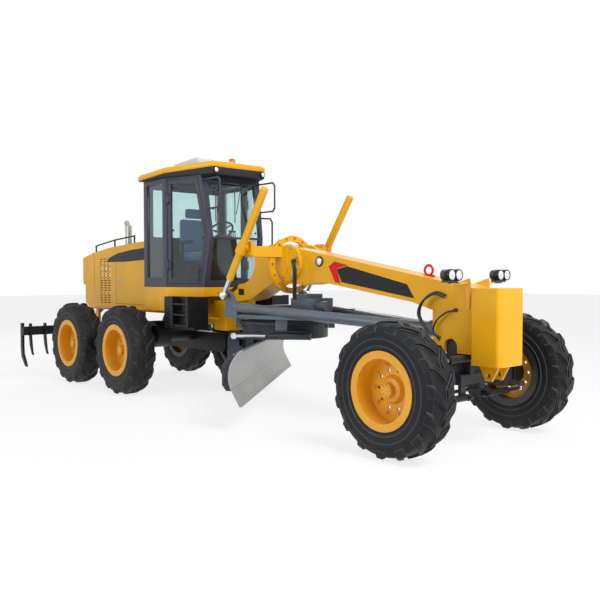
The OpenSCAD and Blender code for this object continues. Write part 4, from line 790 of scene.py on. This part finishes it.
# %% Seat
def cushion(name, low, high, crown, axis):
    bm = bmesh.new()
    add_box(bm, low, high)
    soften(bm, min(Vector(high) - Vector(low)) * 0.33, 30, 4)
    bmesh.ops.subdivide_edges(bm, edges=[e for e in bm.edges if e.calc_length() > 0.12], cuts=5, use_grid_fill=True)
    mid, half = (Vector(low) + Vector(high)) / 2, (Vector(high) - Vector(low)) / 2
    flat = [i for i in range(3) if i != axis]
    for v in bm.verts:
        u = [(v.co[i] - mid[i]) / half[i] for i in flat]
        dome = max(0.0, 1 - u[0] ** 2) * max(0.0, 1 - u[1] ** 2)
        if v.co[axis] > mid[axis]:
            v.co[axis] += crown * (dome - 0.5)
    o = make(name, bm, SEAT, "rear_body", smooth=60)
    return o


def cloth_finish():
    m = bpy.data.materials.new("seat cloth")
    m.use_nodes = True
    t = m.node_tree
    s = t.nodes["Principled BSDF"]
    s.inputs["Sheen Weight"].default_value = 0.4
    co = add(t, "TexCoord")
    warp = add(t, "TexWave", {"Vector": co.outputs["Object"]}, Scale=90.0, bands_direction="Y")
    weft = add(t, "TexWave", {"Vector": co.outputs["Object"]}, Scale=90.0, bands_direction="Z")
    knit = add(t, "Math", {0: warp.outputs["Fac"], 1: weft.outputs["Fac"]}, operation="MULTIPLY")
    c = blend_colour(t, knit.outputs[0], linear("#3f6494"), linear("#6f93b8"))
    t.links.new(c, s.inputs["Base Color"])
    rr = add(t, "MapRange", {"Value": knit.outputs[0]}, To_Min=0.8, To_Max=0.95)
    t.links.new(rr.outputs[0], s.inputs["Roughness"])
    b = add(t, "Bump", {"Height": knit.outputs[0]}, Strength=0.4, Distance=0.002)
    t.links.new(b.outputs[0], s.inputs["Normal"])
    return m


SEAT = cloth_finish()
cushion("seat_cushion", (-0.69, -0.24, 1.90), (-0.18, 0.24, 2.02), 0.02, 2)
cushion("seat_back", (-0.76, -0.235, 2.0), (-0.64, 0.235, 2.50), 0.03, 0)
cushion("head_rest", (-0.755, -0.14, 2.52), (-0.66, 0.14, 2.66), 0.02, 0)
bm = bmesh.new()
add_box(bm, (-0.64, -0.17, 1.5705), (-0.24, 0.17, 1.70))
add_box(bm, (-0.58, -0.14, 1.70), (-0.30, 0.14, 1.85))
add_box(bm, (-0.66, -0.2, 1.85), (-0.22, 0.2, 1.90))
add_box(bm, (-0.775, -0.16, 2.05), (-0.755, 0.16, 2.45))
for y in (-0.29, 0.29):
    add_box(bm, (-0.62, y - 0.03, 2.13), (-0.32, y + 0.03, 2.18))
    add_box(bm, (-0.60, y - 0.02, 1.88), (-0.56, y + 0.02, 2.14))
add_plate(bm, [(0.0, 1.5705), (0.16, 1.5705), (0.17, 2.19), (0.02, 2.25), (-0.06, 2.17)], "y", -0.13, 0.26)
soften(bm, 0.012)
for i in range(4):
    for y in (-0.17 - i * 0.03, 0.17 + i * 0.03):
        add_rod(bm, (-0.02, y, 2.12), (-0.06, y, 2.30), 0.006, segments=8)
        add_ball(bm, (-0.06, y, 2.31), 0.016)
    add_box(bm, (-0.03, 0.14, 2.08), (0.03, 0.29, 2.13))
    add_box(bm, (-0.03, -0.29, 2.08), (0.03, -0.14, 2.13))
wheel_at = Vector((-0.06, 0, 2.30))
wheel_axis = Vector((-0.62, 0, 0.78)).normalized()
add_turned(bm, [(0.014 * math.sin(a * math.tau / 10), 0.195 + 0.014 * math.cos(a * math.tau / 10)) for a in range(11)],
           wheel_at, wheel_axis, steps=40)
add_rod(bm, wheel_at - wheel_axis * 0.16, wheel_at, 0.035)
for k in range(3):
    spoke = Matrix.Rotation(k * math.tau / 3, 3, wheel_axis) @ wheel_axis.orthogonal().normalized()
    add_rod(bm, wheel_at, wheel_at + spoke * 0.19, 0.010, segments=8)
controls = make("controls", bm, PLASTIC, "rear_body")
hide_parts("cab_interior")

# %% [markdown]
# ## Engine hood
# The hood's side carries a dark swoosh toward the cab, a door seam with two latches, and small lamps and reflectors
# at the tail. They are thin plates laid on the paint.

# %% Hood trim
HOOD_Y = 0.5
bm = bmesh.new()
swoosh = [(-2.52, 1.905), (-2.40, 1.975), (-2.15, 2.035), (-1.75, 2.075), (-1.25, 2.10), (-0.965, 2.10),
          (-0.965, 1.93), (-1.40, 1.915), (-1.95, 1.90)]
for side in (-1, 1):
    add_plate(bm, swoosh, "y", side * HOOD_Y, side * 0.0015)
make("hood_swoosh", bm, BLACK, "rear_body")
bm = bmesh.new()
for side in (-1, 1):
    y = side * HOOD_Y
    for low_c, high_c in (((-2.20, 1.24), (-2.195, 1.89)), ((-1.12, 1.24), (-1.115, 1.89)),
                          ((-2.20, 1.24), (-1.115, 1.245)), ((-2.95, 1.42), (-2.945, 2.03))):
        add_box(bm, (low_c[0], y - 0.001, low_c[1]), (high_c[0], y + side * 0.0012, high_c[1]))
make("panel_seams", bm, LINER, "rear_body")
bm = bmesh.new()
for side in (-1, 1):
    for x, z in ((-2.10, 1.60), (-1.20, 1.60)):
        add_box(bm, (x - 0.028, side * HOOD_Y - 0.004, z - 0.045), (x + 0.028, side * HOOD_Y + 0.004, z + 0.045))
        add_rod(bm, (x, side * HOOD_Y, z), (x, side * (HOOD_Y + 0.012), z), 0.012)
soften(bm, 0.003)
make("hood_latches", bm, PLATED, "rear_body")


# %% Tail lamps
bm = bmesh.new()
for y in (-0.43, 0.43):
    add_box(bm, (-3.384, y - 0.035, 1.66), (-3.376, y + 0.035, 1.86))
soften(bm, 0.003)
make("tail_lamps", bm, RED, "rear_body")

# %% [markdown]
# ## Front frame
# The long beam wears a red chevron and a black panel along each side, a round marker lamp, and a red lifting eye.
# They follow the beam's slope. Bolts ring the clamp discs at the saddle.

# %% Beam panels
PANEL = [(2.456, 1.746), (2.621, 1.776), (3.497, 1.577), (3.593, 1.433), (2.53, 1.596)]
CHEVRON = [(2.319, 1.777), (2.413, 1.833), (2.640, 1.786), (2.456, 1.752), (2.515, 1.579), (2.425, 1.595)]
black, red, ring = bmesh.new(), bmesh.new(), bmesh.new()
for side in (-1, 1):
    y = side * BEAM_Y
    add_plate(black, PANEL, "y", y, side * 0.0015)
    add_plate(red, CHEVRON, "y", y, side * 0.0012)
    add_plate(black, [(0.585, 1.42), (0.70, 1.42), (0.70, 1.50), (0.585, 1.50)], "y", y, side * 0.006)
    add_turned(ring, [(0, 0), (0, 0.062), (0.012, 0.06), (0.02, 0.05), (0.014, 0.045), (0.014, 0)],
               (2.166, y, 1.838), (0, side, 0))
make("beam_panels", black, BLACK, "front_body")
make("beam_chevrons", red, RED, "front_body")
make("marker_rims", ring, BLACK, "front_body")
bm = bmesh.new()
for side in (-1, 1):
    add_turned(bm, [(0, 0), (0, 0.045), (0.008, 0.03), (0.010, 0)], (2.166, side * (BEAM_Y + 0.014), 1.838),
               (0, side, 0))
make("marker_lenses", bm, LENS, "front_body")
bm = bmesh.new()
slope = (1.99 - 1.54) / (4.335 - 1.85)    # how the beam's top falls toward the nose
eye_x = 3.66
eye_z = 1.54 + (4.335 - eye_x) * slope
add_turned(bm, [(0.012 * math.sin(a * math.tau / 10), 0.052 + 0.014 * math.cos(a * math.tau / 10))
                for a in range(11)], (eye_x, 0, eye_z + 0.06), (0, 1, 0), steps=24)
add_box(bm, (eye_x - 0.07, -0.012, eye_z - 0.02), (eye_x + 0.07, 0.012, eye_z + 0.012))
make("lifting_eye", bm, RED, "front_body")

# %% Saddle bolts
SADDLE_X, SADDLE_Z = 1.64, 1.83
bm = bmesh.new()
for side in (-1, 1):
    face_y = side * (BEAM_Y + 0.0453)
    for i in range(8):
        a = math.radians(22.5 + i * 45)
        add_bolt(bm, (SADDLE_X + 0.19 * math.cos(a), face_y, SADDLE_Z + 0.19 * math.sin(a)), (0, side, 0), 0.016,
                 0.014)
make("saddle_bolts", bm, PLATED, "front_body")

# %% [markdown]
# ## Hoses
# Oil reaches the moving gear through rubber hoses. Each hangs in a loose loop between two fittings.

# %% Hose runs
bm = bmesh.new()
for dy, dz in ((0, 0), (-0.028, -0.02)):
    add_hose(bm, [(4.00, -0.152 + dy, 1.47 + dz), (3.90, -0.20 + dy, 1.50 + dz), (3.78, -0.23 + dy, 1.42 + dz),
                  (3.74, -0.24 + dy, 1.27), (3.84, -0.22 + dy, 1.12), (3.93, -0.152, 1.05)], 0.011)
add_hose(bm, [(4.12, -0.152, 1.33), (4.02, -0.19, 1.30), (3.92, -0.20, 1.22), (3.87, -0.19, 1.12),
              (3.92, -0.152, 1.02)], 0.009)
add_hose(bm, [(4.00, 0.152, 1.47), (3.90, 0.20, 1.50), (3.78, 0.23, 1.42), (3.76, 0.24, 1.27), (3.84, 0.22, 1.12),
              (3.93, 0.152, 1.05)], 0.011)
make("nose_hoses", bm, HOSE, "front_body")
bm = bmesh.new()
add_turned(bm, [(0, 0), (0, 0.026), (0.02, 0.026), (0.045, 0.02), (0.046, 0)], (1.78, -0.1953, 1.85), (0, -1, 0))
add_turned(bm, [(0, 0), (0, 0.02), (0.02, 0.02), (0.03, 0.014), (0.031, 0)], (4.12, -0.15, 1.33), (0, -1, 0))
make("hose_plugs", bm, PLASTIC, "front_body")
for k, dy in enumerate((0.0, -0.032)):
    bm = bmesh.new()
    add_hose(bm, [(1.78, -0.235 + dy * 0.3, 1.85), (1.84, -0.265 + dy, 1.84), (1.875, -0.27 + dy, 1.74),
                  (1.865, -0.26 + dy, 1.58), (1.84, -0.24 + dy, 1.46), (1.835, -0.235 + dy, 1.385)], 0.0125)
    hose = make(f"drive_hose_{k + 1}", bm, HOSE, "front_body")
    hose.parent = None
    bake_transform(hose)
for k, dz in enumerate((0.0, 0.03)):
    bm = bmesh.new()
    add_hose(bm, [(-0.16, -0.20 - dz, 1.36), (0.02, -0.24 - dz, 1.375 + dz), (0.22, -0.22 - dz, 1.40 + dz),
                  (0.40, -0.17, 1.44 + dz), (0.56, -0.151, 1.52 + dz)], 0.011)
    hose = make(f"centre_hose_{k + 1}", bm, HOSE, "rear_body")
    hose.parent = None
    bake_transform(hose)

# %% [markdown]
# ## Blade gear
# The pitch cylinder carries two hoses on its back, and rows of plough bolts hold the cutting edge.

# %% Blade bolts
TO_CIRCLE = Matrix.Translation((1.37, 0, 0)) @ Matrix.Rotation(BLADE_TURN, 4, "Z")
bm = bmesh.new()
EDGE_UP = Vector((-0.10, 0, 0.19)).normalized()
EDGE_OUT = Vector((0.19, 0, 0.10)).normalized()
BLADE_SHIFT, EDGE_LEN, EDGE_BOLTS = 0.2, 3.5, 19
for i in range(EDGE_BOLTS):
    y = BLADE_SHIFT - EDGE_LEN / 2 + i * EDGE_LEN / (EDGE_BOLTS - 1)
    for row_up in (0.05, 0.155):
        at = Vector((-0.22, y, 0.28)) + EDGE_UP * row_up
        add_turned(bm, [(-0.004, 0), (-0.004, 0.012), (0.0025, 0.011), (0.003, 0)], at, EDGE_OUT, steps=10)
bmesh.ops.transform(bm, matrix=TO_CIRCLE, verts=bm.verts)
make("plough_bolts", bm, STEEL, "blade")

# %% [markdown]
# ### End bracket
# A bracket stiffens the board's right end from behind: two ribs follow the board's back, three flanges join them, and
# bolts go through the outer rib. Its corners stay nearer the circle's middle than the board's own.

# %% Bracket behind the board
bm = bmesh.new()
RIB = [(-0.330, 0.475), (-0.352, 0.56), (-0.354, 0.64), (-0.335, 0.73), (-0.285, 0.81), (-0.36, 0.815),
       (-0.455, 0.72), (-0.455, 0.50), (-0.41, 0.435), (-0.345, 0.435)]
for y in (-1.56, -1.34):
    add_plate(bm, RIB, "y", y, 0.022)
for x, z, deep in ((-0.445, 0.50, 0.10), (-0.445, 0.62, 0.09), (-0.430, 0.735, 0.09)):
    add_box(bm, (x, -1.55, z), (x + deep, -1.325, z + 0.022))
soften(bm, 0.004)
for x, z in ((-0.43, 0.56), (-0.43, 0.68), (-0.40, 0.47), (-0.38, 0.77)):
    add_bolt(bm, (x, -1.56, z), (0, -1, 0), 0.014)
bmesh.ops.transform(bm, matrix=TO_CIRCLE, verts=bm.verts)
make("end_bracket", bm, DARK_SLATE, "blade")

# %% Pitch hoses
PITCH_Y, PITCH_Z = -0.66, 0.955
bm = bmesh.new()
for dy, dz in ((-0.02, 0.045), (0.02, 0.045)):
    add_hose(bm, [(x, PITCH_Y + dy, z) for x, z in ((0.34, 0.955 + dz + 0.005), (0.20, 0.965 + dz), (0.02, 0.960 + dz),
                                                    (-0.08, 0.950 + dz), (-0.12, 0.985))], 0.009)
for x in (0.28, 0.0):
    add_turned(bm, [(-0.012, 0.0365), (-0.012, 0.041), (0.012, 0.041), (0.012, 0.0365)], (x, PITCH_Y, PITCH_Z),
               (1, 0, 0))
bmesh.ops.transform(bm, matrix=TO_CIRCLE, verts=bm.verts)
make("pitch_hoses", bm, HOSE, "pitch_barrel")
